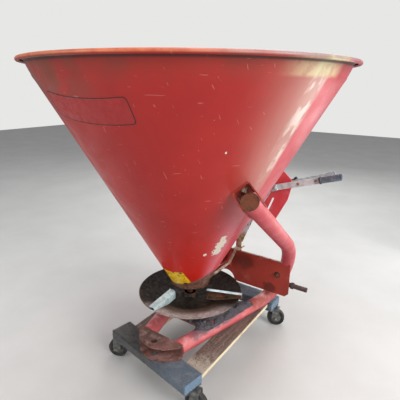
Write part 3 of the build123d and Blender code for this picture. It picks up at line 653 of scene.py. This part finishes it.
def weld(path, r, seed, closed=False):
    """Bead with ripples along a path of points in metres."""
    rng = random.Random(seed)
    verts = []
    sides, n = 8, len(path)
    for i, p in enumerate(path):
        a = path[(i - 1) % n] if closed or i else p
        b = path[(i + 1) % n] if closed or i < n - 1 else p
        verts += ring(p, b - a, r * (0.82 + 0.36 * abs(math.sin(i * 1.3)) + rng.uniform(-0.08, 0.08)), sides)
    return verts, strips(sides, n, closed) + ([] if closed else ends(sides, n))


def line(a, b):
    n = max(2, int((b - a).length / (2.5 * MM)))
    return [a.lerp(b, i / n) for i in range(n + 1)]


# Hopper shell, in metres: cone, collar and lip rolled outward, slightly out of true
NECK_R, NECK_Z = 0.080, 0.368
CREASE_R, CREASE_Z = 0.534, 1.187
COLLAR_R, LIP_R, RIM_Z, ROLL, SHEET = 0.551, 0.575, 1.238, 0.0065, 0.0025
CONE_TILT = math.atan2(CREASE_R - NECK_R, CREASE_Z - NECK_Z)


def cone_r(z):
    return NECK_R + (z - NECK_Z) * (CREASE_R - NECK_R) / (CREASE_Z - NECK_Z)


def dents(a, z):
    low = noise.noise(Vector((math.cos(a) * 2.2, math.sin(a) * 2.2, z * 3)))
    fine = noise.noise(Vector((math.cos(a) * 7, math.sin(a) * 7, z * 9 + 4)))
    reach = min(1, max(0, (z - 0.45) * 2.5))
    return 1 + reach * (0.0022 * low + 0.0008 * fine)


def hopper_profile():
    outer = [(cone_r(z), z) for z in [NECK_Z + (CREASE_Z - NECK_Z) * i / 40 for i in range(40)]]
    outer += [(CREASE_R - 0.0012, CREASE_Z - 0.004), (CREASE_R + 0.0006, CREASE_Z + 0.003)]
    outer += [(CREASE_R + (COLLAR_R - CREASE_R) * t, CREASE_Z + (RIM_Z - 0.010 - CREASE_Z) * t)
              for t in (0.3, 0.55, 0.8, 1)]
    lip = [(COLLAR_R + 0.003, RIM_Z - 0.0055), (COLLAR_R + 0.008, RIM_Z - 0.0035),
           (LIP_R - 0.009, RIM_Z - 0.0035)]
    centre = (LIP_R - ROLL, RIM_Z - ROLL)
    lip += arc(centre, ROLL - SHEET, (60, 30, 0, -40, -80, -120, -160))
    lip += arc(centre, ROLL, (-160, -125, -90, -60, -30, 0, 30, 60, 90))
    lip += [(COLLAR_R + r, RIM_Z - z) for r, z in ((0.006, 0.0004), (0.001, 0.003), (-0.002, 0.008))]
    return outer + lip + [(r - SHEET, z) for r, z in outer if z < RIM_Z - 0.011][::-1]


shell = lathe(hopper_profile(), 240, True, dents, 1)
piece("hopper_shell", shell, ("hopper", "hopper_in"), "frame", ("hopper",), 50,
      lambda c, n: 1 if n.dot(Vector((c.x, c.y, 0))) < 0 and c.z < RIM_Z - 0.012 else 0)


def on_cone(u, v, lift):
    """Place on the cone of a point of its unrolled plane, with a lift; all in mm."""
    turn = math.atan2(u, -v) / math.sin(CONE_TILT) - math.pi / 2
    r = math.hypot(u, v) * MM * math.sin(CONE_TILT)
    z = NECK_Z + (r - NECK_R) * (CREASE_Z - NECK_Z) / (CREASE_R - NECK_R)
    r = r * dents(turn, z) + lift * MM
    return Vector((r * math.cos(turn), r * math.sin(turn), z))


def label(name, centre, size, tilt, look, lift, corner, border=0):
    """Thin rounded label that follows the cone; with a border it is only an outline of that width."""
    corners = []
    for cx, cy, start in ((1, 1, 0), (-1, 1, 90), (-1, -1, 180), (1, -1, 270)):
        middle = (cx * (size[0] / 2 - corner), cy * (size[1] / 2 - corner))
        corners += arc(middle, corner, range(start, start + 105, 15))
    edge = []
    for p, q in zip(corners, corners[1:] + corners[:1]):
        n = max(1, int(math.dist(p, q) / (size[0] / 40)))
        edge += [(p[0] + (q[0] - p[0]) * k / n, p[1] + (q[1] - p[1]) * k / n) for k in range(n)]
    c, s = polar(1, tilt)

    def loop(sx, sy, up):
        return [on_cone(centre[0] + x * sx * c - y * sy * s, centre[1] + x * sx * s + y * sy * c, up)
                for x, y in edge]
    if border:
        hole = [1 - 2 * border / length for length in size]
        loops = [loop(1, 1, 0.05), loop(1, 1, lift), loop(*hole, lift), loop(*hole, 0.05)]
    else:
        loops = [loop(1, 1, 0.05)] + [loop(1 - i / 14, 1 - i / 14, lift) for i in range(14)]
    verts = [v for points in loops for v in points]
    count = len(edge)
    faces = strips(count, len(loops), bool(border))
    if not border:
        last = len(verts) - count
        faces += [[last + k, last + (k + 1) % count, len(verts)] for k in range(count)]
        verts.append(on_cone(*centre, lift))
    piece(name, (verts, faces), look, "frame")


label("yellow_label", (12, -229), (98, 78), -9, "yellow", 0.5, 5)
label("blank_panel", (-12, -992), (330, 82), 1.5, "panel", 0.35, 12)
label("blank_panel_line", (-12, -992), (330, 82), 1.5, "line", 0.6, 12, 2.4)

# Spinner disc: dish with a beaded rim
disc_line = ((12.6, 293), (118, 293), (124, 294.2), (212, 315.2), (217, 315.8), (219.2, 317.6),
             (219.2, 319.6), (217, 320.6), (213, 320.2), (122, 297.4), (117, 296), (12.6, 296))
piece("dish", lathe(disc_line, 160, True), "disc", "spinner", ("spinner_disc",), 30)

# Vanes: bent channels open on one side, with feet that follow the dish
VANES = ((12.5, 8.5), (132.5, 15), (252.5, 23))
VANE_TOP, VANE_SEAT, BEND_R, VANE_SHEET = 338, 110, 11.5, 2.5
DISH, DISC_FLAT, DISC_R, SLOPE = 296.6, 120, 216.8, 24 / 96


def vane_place(seat, pitch):
    return rotated(seat) @ Matrix.Translation((VANE_SEAT * MM, 0, 0)) @ rotated(pitch)


def dish_under(point):
    """Height of the dish under a point, in mm."""
    return DISH + (min(DISC_R, max(DISC_FLAT, point.length / MM)) - DISC_FLAT) * SLOPE


def vane(seat, pitch):
    place = vane_place(seat, pitch)
    verts = []
    stations = [-30 + 148 * i / 16 for i in range(17)]
    bend = (1.5, VANE_TOP - BEND_R)
    low = VANE_TOP - VANE_SHEET
    for x in stations:
        foot = dish_under(place @ mm(x, 13, 0))
        outer = [(-13, VANE_TOP), (-6, VANE_TOP), (1.5, VANE_TOP)] + arc(bend, BEND_R, (68, 45, 22, 0))
        outer += [(13, foot + 4), (11, foot + 1), (7, foot), (0, foot), (-12, foot)]
        inner = [(-12, foot + 2.5), (0, foot + 2.5), (6.5, foot + 2.6), (9.5, foot + 4), (10.5, foot + 6)]
        inner += arc(bend, BEND_R - VANE_SHEET, (0, 30, 60)) + [(1.5, low), (-6, low), (-13, low)]
        verts += [place @ mm(x, y, z) for y, z in outer + inner]
    n_out, n = len(outer), len(outer) + len(inner)
    faces = strips(n, len(stations))
    marks = [1 if k > n_out - 5 else 0 for k in range(n)] * (len(stations) - 1)
    for s in (0, len(stations) - 1):
        for k in range(n_out - 1):
            a, b = [min(i * (n - n_out - 1) // (n_out - 1), n - n_out - 1) for i in (k, k + 1)]
            face = [s * n + k, s * n + k + 1, (s + 1) * n - 1 - b, (s + 1) * n - 1 - a]
            faces.append(face if a != b else face[:3])
            marks.append(0)
    return verts, faces, marks


vane_parts = [vane(*v) for v in VANES]
# Inner faces take the dark rust look, which also stands for shade in the channel
piece("vane_channels", joined([part[:2] for part in vane_parts]), ("galvanised", "vane_inside_rust_and_shade"), "spinner",
      ("vanes",), 40, marks=[m for part in vane_parts for m in part[2]])

hub_bolts = [bolt(mm(*polar(33, d), 296), Z, 11, 5, 8, 0, d) for d in range(30, 390, 60)]
for seat, pitch in VANES:
    for x in (-16, 58):
        at = vane_place(seat, pitch) @ mm(x, -2, 0)
        hub_bolts.append(bolt(at + Z * (dish_under(at) + VANE_SHEET) * MM, Z, 10, 5, 7.5, 0, seat))
piece("disc_bolts", joined(hub_bolts), "shaft", "spinner")
hub_cap = ((12.6, 308), (24, 308), (27.4, 306), (27.8, 298), (30, 296.2), (30, 296), (12.6, 296))
piece("hub_cap", lathe(hub_cap, 48, True), "shaft", "spinner")

# Places that carry dirt, in mm: side tubes, gearbox on its carrier, right plank, rear clevis
TUBE_R, TUBE_Z = 30, 172
TUBE_TAIL, TUBE_HEEL = (76, -195), (219.4, 414.6)
TAIL_TURN = math.atan2(TUBE_HEEL[0] - TUBE_TAIL[0], TUBE_HEEL[1] - TUBE_TAIL[1])
BOX_HALF, BOX_LONG, BOX_Y, BOX_LOW, BOX_TOP, BOX_AXIS = 56, 63, 10, 208, 272, 240
BLOCK_SIZE, BLOCK_LOW, PLANK_TOP, PLANK_LOW = (457, 95, 44), 98, 136, 117
CLEVIS_TOP, HOLE_Y = 202, -239.5


def tube_x(y):
    (x0, y0), (x1, y1) = TUBE_TAIL, TUBE_HEEL
    return x0 + (y - y0) * (x1 - x0) / (y1 - y0)


def carried(x, y):
    """Height of what carries dirt at a place and how much of it can lie there, or None."""
    if abs(x) < BOX_HALF and abs(y - BOX_Y) < BOX_LONG:
        return None
    top, room = None, 0
    if -70 <= y <= 95 and abs(x) <= tube_x(y):
        top, room = BOX_LOW, 1
    for side in (1, -1):
        off = (x * side - tube_x(y)) * 0.973
        if abs(off) < 27:
            inner = 1 if top else min(1, (26 + off) / 9)
            top = max(top or 0, TUBE_Z + math.sqrt(TUBE_R ** 2 - off ** 2))
            room = max(0, min(1, inner, (24 - off) / 14))
    return (top, room) if top else None


def on_plank(x, y):
    return (PLANK_TOP, 1) if 129 < x < 210 and -205 < y < 370 else None


def on_clevis(x, y):
    inside = abs(x) < 100 and y < -203 and x ** 2 + (y + 184.5) ** 2 < 84 ** 2
    return (CLEVIS_TOP, 1) if inside and math.hypot(x, y - HOLE_Y) > 21 else None


GRAIN_POINTS = ((0, 0, 1), (0.9, 0, 0.3), (0.2, 0.9, 0.2), (-0.8, 0.4, 0.3), (-0.6, -0.7, 0.2),
                (0.4, -0.9, 0.1), (0, 0, -0.8))
GRAIN_FACES = [(0, k, k % 5 + 1) for k in range(1, 6)] + [(6, k % 5 + 1, k) for k in range(1, 6)]


def mound(name, area, high, look, seed, grains, under, size, cover):
    """Heap that sinks into what carries it at its edges, with loose grains on and round it."""
    rng = random.Random(seed)
    (x0, y0), (x1, y1) = area
    step, sunk = 3, 1.2
    grid, verts = {}, []

    def depth(x, y, room):
        edge = min(x - x0, x1 - x, y - y0, y1 - y) / 30
        lump = 0.55 + 0.9 * noise.noise(Vector((x * 0.022 + seed, y * 0.022, 0.3)))
        fine = 0.25 * noise.noise(Vector((x * 0.09, y * 0.09, seed)))
        crumb = 0.10 * noise.noise(Vector((x * 0.4, y * 0.4, seed)))
        return high * room * max(0, min(1, edge)) * max(0, lump + fine + crumb)
    for i in range(int((x1 - x0) / step) + 1):
        for j in range(int((y1 - y0) / step) + 1):
            x, y = x0 + i * step, y0 + j * step
            bed = under(x, y)
            if bed and high:
                deep = depth(x, y, bed[1])
                grid[i, j] = (len(verts), deep)
                verts.append(mm(x, y, bed[0] + deep - sunk))
    count = len(verts)
    verts += [v - Z * 2 * sunk * MM for v in verts]
    top_faces = []
    for i, j in grid:
        cell = [grid.get((i + a, j + b)) for a, b in ((0, 0), (1, 0), (1, 1), (0, 1))]
        if None not in cell and max(deep for _, deep in cell) > sunk * 0.8:
            top_faces.append([k for k, _ in cell])
    edges = {(a, b) for face in top_faces for a, b in zip(face, face[1:] + face[:1])}
    faces = top_faces + [[k + count for k in face[::-1]] for face in top_faces]
    faces += [[a, a + count, b + count, b] for a, b in sorted(edges) if (b, a) not in edges]
    parts = [(verts, faces)]
    for _ in range(grains):
        x, y = rng.uniform(x0, x1), rng.uniform(y0, y1)
        r = rng.uniform(*size)
        turn = Matrix.Rotation(rng.uniform(0, 6.28), 4, "Z") @ Matrix.Rotation(rng.uniform(0, 3), 4, "X")
        stretch = [rng.uniform(0.6, 1.2) for _ in range(3)]
        keep = rng.random()
        bed = under(x, y)
        deep = depth(x, y, bed[1]) if bed else 0
        if bed and keep <= cover + deep / max(high, 1) * 1.8:
            at = mm(x, y, bed[0] + max(0, deep - sunk) + r * 0.3)
            grain = [at + turn @ mm(*[c * r * k for c, k in zip(p, stretch)]) for p in GRAIN_POINTS]
            parts.append((grain, GRAIN_FACES))
    verts, faces = joined(parts)
    used = sorted({k for face in faces for k in face})
    renumber = {k: i for i, k in enumerate(used)}
    part = ([verts[k] for k in used], [[renumber[k] for k in face] for face in faces])
    piece(name, part, look, "frame", sharp=50)


mound("dirt_heap_right", ((54, -98), (214, 232)), 27, "soil", 4, 5200, carried, (0.8, 2.6), 0.10)
mound("dirt_heap_left", ((-190, -74), (-58, 98)), 15, "soil", 7, 900, carried, (0.8, 2.4), 0.04)
mound("crumbs_on_plank", ((128, -204), (211, 300)), 0, "soil", 11, 900, on_plank, (0.5, 1.6), 1)
mound("crumbs_on_clevis", ((-90, -270), (90, -204)), 0, "clevis_dirt", 3, 500, on_clevis, (0.4, 1.2), 1)


# Pivot of the lever and the rate stop
def pivot_at(y):
    return mm(190, y, 727)


def uphill(degrees):
    x, z = polar(1, degrees)
    return Vector((x, 0, z))


# Hand grip with a black collar and a rounded pale end
lever_x = uphill(17.6)
grip_line = [(9, 229), (15.6, 229), (16, 230), (16, 234.5), (15.2, 235.5), (13.6, 236)]
grip_line += [(13.6 + 0.9 * (k % 2), 240 + k * 2.6) for k in range(27)]
grip_line += [(14.3, 311.5), (14.1, 313.5), (12.8, 316), (9.5, 317.2), (4, 317.6)]
grip_part = moved(lathe(grip_line, 40), basis(pivot_at(335.5), lever_x, Y))
grip_marks = []
for face in grip_part[1]:
    along = sum((grip_part[0][k] - pivot_at(335.5)).dot(lever_x) for k in face) / len(face) / MM
    grip_marks.append(1 if along < 235.6 else (2 if along > 312.5 else 0))
piece("hand_grip", grip_part, ("grip", "black", "grip_end"), "lever", ("lever_grip",), 40,
      marks=grip_marks)

# Lobed knob on the rate stop
stop_x = uphill(20.5)
knob_at = pivot_at(368) + stop_x * 0.110
lobes = ((6.5, 0), (15.5, 0), (17.8, 1.5), (18.6, 4), (18.6, 11), (17.4, 14.2), (14.5, 15.8), (8, 15.8),
         (6.5, 14.5))
knob_part = lathe(lobes, 90, False, lambda a, z: 1 + 0.17 * math.cos(5 * a) + 0.02 * math.cos(10 * a))
piece("lobed_knob", moved(knob_part, basis(knob_at, Y, stop_x)), "black", "stop",
      ("stop_knob",), 40)
piece("knob_stud", moved(stud(5, 19), basis(knob_at, Y)), "bolt", "stop")

# Folded clamp at the bar's inner end, pivot nut, rivets
clamp_line = [(13 + x, y) for x, y in ((-15, 15), (20, 15), (24, 13), (26, 8), (26, -8), (24, -13), (20, -15),
                                       (-15, -15))]
lever_face = basis(pivot_at(333), -Y, lever_x)
piece("bar_clamp", joined([extruded(clamp_line, 3, lever_face, 0.8),
                           bolt(lever_face @ mm(33, 0, 3), -Y, 13, 6.5, 10, 4, 12)]), "stop", "lever")
piece("pivot_nut", joined([bolt(pivot_at(326), -Y, 19, 9, 0, 5, 8), bolt(pivot_at(375), Y, 19, 8, 0, 4, 20)]),
      "bolt", "frame")
piece("bar_rivets", joined([bolt(lever_face @ mm(x, 0, 0), -Y, 7, 1.6, 5.5, 0, 5) for x in (136, 212)]),
      "pale_bolt", "lever")

# Upper runs of the side tubes, from the cone's flank to the knee: top, axis, way out from the cone
TUBE_TOP, OFF_CONE, KNEE = 828, 73.1, Vector((323.4, 334.5, 457))
TUBE_AXES = {}
for side, turn in ((1, -28.07), (-1, -8)):
    top_at = Vector((*polar(cone_r(TUBE_TOP * MM) / MM + OFF_CONE, turn), TUBE_TOP))
    axis = (KNEE - top_at).normalized()
    out_dir = Vector((*polar(math.cos(CONE_TILT), turn), -math.sin(CONE_TILT)))
    out_dir = (out_dir - axis * out_dir.dot(axis)).normalized()
    flip = Matrix.Diagonal((side, 1, 1, 1))
    TUBE_AXES[side] = (flip @ top_at, flip @ axis, flip @ out_dir)

# Bolts of the saddles and caps of the tubes
cap_line = ((0.5, 0.6), (20, 0.5), (27.5, 0.1), (28, -2), (0.5, -2))
saddle_bits, caps = [], []
for side, (top_at, axis, out_dir) in TUBE_AXES.items():
    for along, off in ((49.6, 5), (20, -6)):
        at = top_at - out_dir * 58 + axis * along + axis.cross(out_dir) * side * off
        saddle_bits.append(bolt(at * MM, out_dir, 15, 7.5, 12, 5, 20))
    caps.append(weld(ring((top_at + axis * 0.4) * MM, axis, 28.6, 40, side=out_dir), 1.9, 5, True))
    caps.append(moved(lathe(cap_line, 48), basis(top_at * MM, -axis)))
piece("saddle_bolts", joined(saddle_bits), "pale_bolt", "frame")
piece("tube_caps", joined(caps), "cap", "frame")

# Bolts of the cross plate, the mast and the quadrant
plate_bits = []
for s in (1, -1):
    plate_bits.append(bolt(mm(s * 267, 313, 331), -Y, 17, 8, 15, 5, 10))
    plate_bits.append(bolt(mm(s * 267, 318, 331), Y, 17, 7, 13, 0, 0))
    plate_bits += [bolt(mm(s * 34, 374, z), X * s, 17, 8, 13, 0, 15) for z in (330, 430)]
for z in (655, 745):
    plate_bits += [bolt(mm(60, 352, z), -Y, 13, 6, 10, 0, 25), bolt(mm(60, 357, z), Y, 13, 6, 10, 3, 5)]
piece("frame_bolts", joined(plate_bits), "rust", "frame")

# Dolly: worn planks, carpeted blocks, castor wheels
BLOCKS = {"front": ((8.5, 405), -1), "rear": ((-17, -225), -9.4)}
PLANKS = {"right": (125, 214, -218, 374), "left": (-196, -107, -166, 380)}


def plank(x0, x1, y0, y1):
    """Board whose long edges are rubbed and knocked."""
    seed, n, ease = 3, 150, 1.6
    rng = random.Random(seed)
    low, top = PLANK_LOW, PLANK_TOP
    verts = []
    for i in range(n + 1):
        y = y0 + (y1 - y0) * i / n
        bite = [max(0, 2.2 * noise.noise(Vector((y * 0.03, seed, s))) - 0.5) + rng.uniform(0, 0.25)
                for s in (1, 5)]
        a, b = x0 + bite[0], x1 - bite[1]
        section = ((a + ease, low), (b - ease, low), (b, low + ease), (b, top - ease), (b - ease, top),
                   (a + ease, top), (a, top - ease), (a, low + ease))
        verts += [mm(x, y, z) for x, z in section]
    return verts, strips(8, n + 1) + ends(8, n + 1)


for side, size in PLANKS.items():
    piece("worn_plank_" + side, plank(*size), ("plank", "sawn"), "frame", ("dolly_plank_" + side,),
          40, lambda c, n: 1 if abs(n.z) < 0.4 else 0)


def carpet_block(place):
    """Rounded block with a lumpy pile and loose tufts."""
    rng = random.Random(5)
    half, r, cell = [s / 2 for s in BLOCK_SIZE], 7, 4
    build = bmesh.new()
    bmesh.ops.create_cube(build, size=2)
    for axis in range(3):
        cuts = int(2 * half[axis] / cell)
        for k in range(1, cuts):
            normal = (X, Y, Z)[axis]
            bmesh.ops.bisect_plane(build, geom=build.verts[:] + build.edges[:] + build.faces[:], dist=1e-6,
                                   plane_co=normal * (2 * k / cuts - 1), plane_no=normal)
    verts, outs = [], []
    for v in build.verts:
        p = Vector([c * h for c, h in zip(v.co, half)])
        core = Vector([max(-h + r, min(h - r, c)) for c, h in zip(p, half)])
        out = (p - core).normalized()
        pile = 0.9 * noise.noise(p * 0.06) + 0.7 * noise.noise(p * 0.35) - 0.4
        verts.append(place @ ((core + out * (r + pile)) * MM))
        outs.append((place.to_3x3() @ out).normalized())
    faces = [[v.index for v in f.verts] for f in build.faces]
    build.free()
    for _ in range(7000):
        k = rng.randrange(len(outs))
        lean = Vector((rng.uniform(-1, 1), rng.uniform(-1, 1), rng.uniform(-0.6, 1)))
        root = verts[k] + lean * 1.6 * MM
        tip = root + (outs[k] + lean * 0.8) * rng.uniform(1.2, 2.6) * MM
        side = outs[k].cross(lean).normalized() * 0.45 * MM
        n = len(verts)
        verts += [root - side, root + side, tip]
        faces.append([n, n + 1, n + 2])
    return verts, faces


for name, (at, turn) in BLOCKS.items():
    place = Matrix.Translation(mm(*at, BLOCK_LOW + BLOCK_SIZE[2] / 2)) @ rotated(turn)
    along = place.to_3x3() @ X
    # End faces take the lighter copy of the carpet, which is painted light
    piece("carpet_block_" + name, carpet_block(place), ("carpet", "carpet_end_lit"), "frame",
          ("dolly_bar_" + name,), 60, lambda c, n: 1 if abs(n.dot(along)) > 0.75 else 0)

WHEEL_R, TRAIL, CASTOR_X, FORK_SIDE, EDGE_R = 42.5, 34, 197.5, 21.5, 3.4
# corner: block, side, heading
CASTORS = {"front_right": ("front", 1, 21), "front_left": ("front", -1, -69), "rear_right": ("rear", 1, 20),
           "rear_left": ("rear", -1, 215)}
wheel_line = [(4.2, -12), (9, -12), (9.6, -9.5), (26, -8), (29.5, -11), (33, -12.2), (39, -12)]
wheel_line += arc((39, EDGE_R - 12), EDGE_R, (-60, -30)) + [(WHEEL_R, -7), (WHEEL_R, -2)]
wheel_line += [(r, -z) for r, z in wheel_line[::-1]]
for corner, (block, side, heading) in CASTORS.items():
    at, turn = BLOCKS[block]
    pivot = Vector((*arc(at, side * CASTOR_X, (turn,))[0], 0))
    ahead = Vector((*polar(1, turn + heading), 0))
    axle = (pivot + ahead * TRAIL + Z * WHEEL_R) * MM
    axle_dir = Z.cross(ahead)
    wheel = moved(lathe(wheel_line, 64, True), basis(axle, axle_dir))
    reach = [max((wheel[0][k] - axle).length for k in face) / MM for face in wheel[1]]
    piece("castor_tyre_" + corner, wheel, ("tread", "hub"), "wheel_" + corner,
          ("castor_wheel_" + corner,), 30, marks=[1 if r < 31 else 0 for r in reach])
    across = axle_dir * FORK_SIDE * MM
    nuts = [bolt(axle + across * s, axle_dir * s, 13, 5.5, 8.5, 2, 12 * s) for s in (1, -1)]
    piece("axle_nuts_" + corner, joined(nuts), "bolt", "castor_" + corner)

# Weld beads
beads = []
for side in (1, -1):
    tail = ring(mm(side * tube_x(-191), -191.5, TUBE_Z), Y, 30.6, 60, 1 / math.cos(TAIL_TURN), X)
    beads.append(weld(tail, 2.6, 2, True))
    beads.append(weld(line(*[mm(side * (tube_x(y) + 1), y, 203) for y in (-68, 93)]), 2.8, 4))
    beads += [weld(line(*[mm(side * x, 318.5, z) for z in (264, 298)]), 2.4, 6) for x in (289.5, 300.5)]
    beads += [weld(line(*[mm(side * x, 318.5, z) for z in (288, 392)]), 2.4, 8) for x in (25.5, 34.5)]
    top_at, axis, out_dir = TUBE_AXES[side]
    for s in (1, -1):
        root = top_at + out_dir * 11.4 + axis.cross(out_dir) * s * 30.2
        beads.append(weld(line((root + axis * 4) * MM, (root + axis * 70) * MM), 2.2, 9))
piece("weld_beads", joined(beads), "bead", "frame")

SEAM_TURN = 98
seam = []
for i in range(150):
    z = NECK_Z + 0.012 + (CREASE_Z - NECK_Z - 0.024) * i / 149
    seam.append(Vector((*polar(cone_r(z) * dents(math.radians(SEAM_TURN), z), SEAM_TURN), z)))
piece("cone_seam", weld(seam, 1.7, 12), "hopper", "frame")

# Gearbox: covers, plugs, ribs and bearing bosses
def boss(inside, outside, side_height, height, centre, axis):
    profile = ((inside, -1), (outside, -1), (outside, side_height), (outside - 2, height), (inside, height))
    return moved(lathe(profile, 60, True), basis(centre, axis))


BOX_FRONT = mm(0, BOX_Y + BOX_LONG, BOX_AXIS)
case = [boss(18, 40, 2.2, 3.4, mm(0, 0, BOX_TOP), Z), boss(19, 30, 2, 3, BOX_FRONT, Y)]
case += [bolt(mm(*polar(34.5, 22 + 45 * k), BOX_TOP + 3.2), Z, 5, 2.6, 0, 0, 10) for k in range(8)]
case += [bolt(mm(x, BOX_Y + BOX_LONG + 3, z), Y, 6, 3, 0, 0, 5)
         for x, z in arc((0, BOX_AXIS), 25, (45, 135, 225, 315))]
for side in (1, -1):
    cover = basis(mm(side * (BOX_HALF - 0.5), BOX_Y - 6, BOX_AXIS + 2), X * side, Y)
    case.append(extruded(oval(28, 22, 48), 4, cover, 1.2))
    case += [bolt(mm(side * (BOX_HALF + 3.4), BOX_Y - 6 + y, BOX_AXIS + 2 + z), X * side, 6, 3, 0, 0, 3)
             for y, z in oval(23, 17, 6)]
    for y in (34, -41):
        rib = basis(mm(side * (BOX_HALF - 0.5), BOX_Y + y, BOX_AXIS), X * side, Y)
        case.append(extruded([(-1.8, -26), (1.8, -26), (1.8, 26), (-1.8, 26)], 3.4, rib, 0.8))
    case += [bolt(mm(side * 47, BOX_Y + y, BOX_LOW), Z, 10, 5, 8.5, 0, 9) for y in (-70, 70)]
case.append(bolt(mm(24, BOX_Y - BOX_LONG, BOX_AXIS - 14), -Y, 13, 6, 9, 0, 7))
case.append(bolt(mm(-22, BOX_Y - BOX_LONG, BOX_AXIS + 14), -Y, 10, 5, 7, 0, 20))
piece("gearbox_fittings", joined(case), "cast", "frame")


# Splined drive shaft with its locking groove
def spline(a, z):
    tooth = math.cos(6 * a)
    return 1 if tooth > -0.1 else (0.85 if tooth < -0.34 else 0.93)


teeth = ((17.4, 92), (17.4, 163), (14.9, 165), (14.9, 171.5), (17.4, 173.5), (17.4, 202.5), (15.6, 204.8))
shaft = [lathe(((15, 21), (15, 76.5)), 60), lathe(((15, 76.2), (17.4, 76.4), (17.4, 92)), 60),
         lathe(teeth, 96, False, spline)]
piece("splined_shaft", moved(joined(shaft), basis(mm(0, 0, BOX_AXIS), Y)), "rust", "drive",
      ("drive_shaft",), 25)

# Agitator bolt, rim of the clevis hole
finger = Vector((math.cos(1.05), math.sin(1.05), 0))
finger_bolt = [bolt((finger * s * 21.3 + Z * 414) * MM, finger * s, 10, 5, 0, stick, 5)
               for s, stick in ((1, 0), (-1, 3))]
piece("agitator_bolt", joined(finger_bolt), "rust", "spinner")
rim_line = ((14, 0), (18, 0), (17, 0.9), (15.4, 1.4), (14, 0.9))
hole_rim = moved(lathe(rim_line, 48, True), basis(mm(0, HOLE_Y, CLEVIS_TOP), Z))
piece("clevis_hole_rim", hole_rim, "clevis", "frame")

# Camera, lamps, floor
camera_data = bpy.data.cameras.new("camera")
camera_data.sensor_width = 36
camera_data.lens = 33.3
camera_data.clip_start = 0.02
camera = bpy.data.objects.new("camera", camera_data)
right, up, ahead = ((0.82279338, 0.56824718, 0.0103056), (-0.17557752, 0.23689802, 0.95553747),
                    (-0.5405401, 0.78801933, -0.29468955))
spot = (0.83550717, -1.14997697, 1.15966624)
camera.matrix_world = Matrix([(right[i], up[i], -ahead[i], spot[i]) for i in range(3)] + [(0, 0, 0, 1)])
bpy.context.scene.collection.objects.link(camera)
bpy.context.scene.camera = camera


def lamp(name, place, aim, size, power, colour=(1, 1, 1)):
    data = bpy.data.lights.new(name, "AREA")
    data.shape = "RECTANGLE"
    data.size, data.size_y = size
    data.energy = power
    data.color = colour
    obj = bpy.data.objects.new(name, data)
    obj.location = place
    obj.visible_camera = False
    obj.rotation_mode = "QUATERNION"
    obj.rotation_quaternion = (Vector(aim) - Vector(place)).to_track_quat("-Z", "Y")
    bpy.context.scene.collection.objects.link(obj)


lamp("key", (3.4, -0.6, 2.4), (0.1, 0, 0.7), (2.4, 2), 130, (1, 0.99, 0.97))
lamp("sheen", (1.25, 1.6, 0.35), (0.35, 0, 1), (1.4, 0.5), 4)
lamp("fill", (-1.6, -3.2, 2.2), (0, 0, 0.6), (2.6, 2), 60)
lamp("top", (0.2, 0.4, 3.6), (0, 0, 0.6), (2.6, 2.6), 55)
lamp("back", (-1.2, 3.2, 2.4), (0, 0, 0.8), (2.4, 1.6), 45)

# Pale grey room: softer as light than as what the camera sees
world = bpy.data.worlds.new("world")
bpy.context.scene.world = world
world.use_nodes = True
world_nodes, world_links = world.node_tree.nodes, world.node_tree.links
sky = world_nodes["Background"]
sky.inputs["Color"].default_value = (0.86, 0.87, 0.88, 1)
sky.inputs["Strength"].default_value = 0.38
seen = world_nodes.new("ShaderNodeBackground")
seen.inputs["Color"].default_value = (0.80, 0.80, 0.79, 1)
seen.inputs["Strength"].default_value = 1
either = world_nodes.new("ShaderNodeMixShader")
world_links.new(world_nodes.new("ShaderNodeLightPath").outputs["Is Camera Ray"], either.inputs[0])
world_links.new(sky.outputs[0], either.inputs[1])
world_links.new(seen.outputs[0], either.inputs[2])
world_links.new(either.outputs[0], world_nodes["World Output"].inputs["Surface"])

floor_look = Look("floor", 0.85)
floor_tone = floor_look.mottled((203.42, 203.42, 201.91), (209.35, 209.35, 207.89), 0.3, 0.7, 3)
floor_look.put("Base Color", floor_tone)
floor_mesh = bpy.data.meshes.new("floor")
floor_mesh.from_pydata([(-9, -9, 0), (9, -9, 0), (9, 9, 0), (-9, 9, 0)], [], [(0, 1, 2, 3)])
floor_mesh.materials.append(floor_look.mat)
floor = bpy.data.objects.new("floor", floor_mesh)
bpy.context.scene.collection.objects.link(floor)

bpy.context.scene.view_settings.view_transform = "Standard"

bpy.context.view_layer.update()
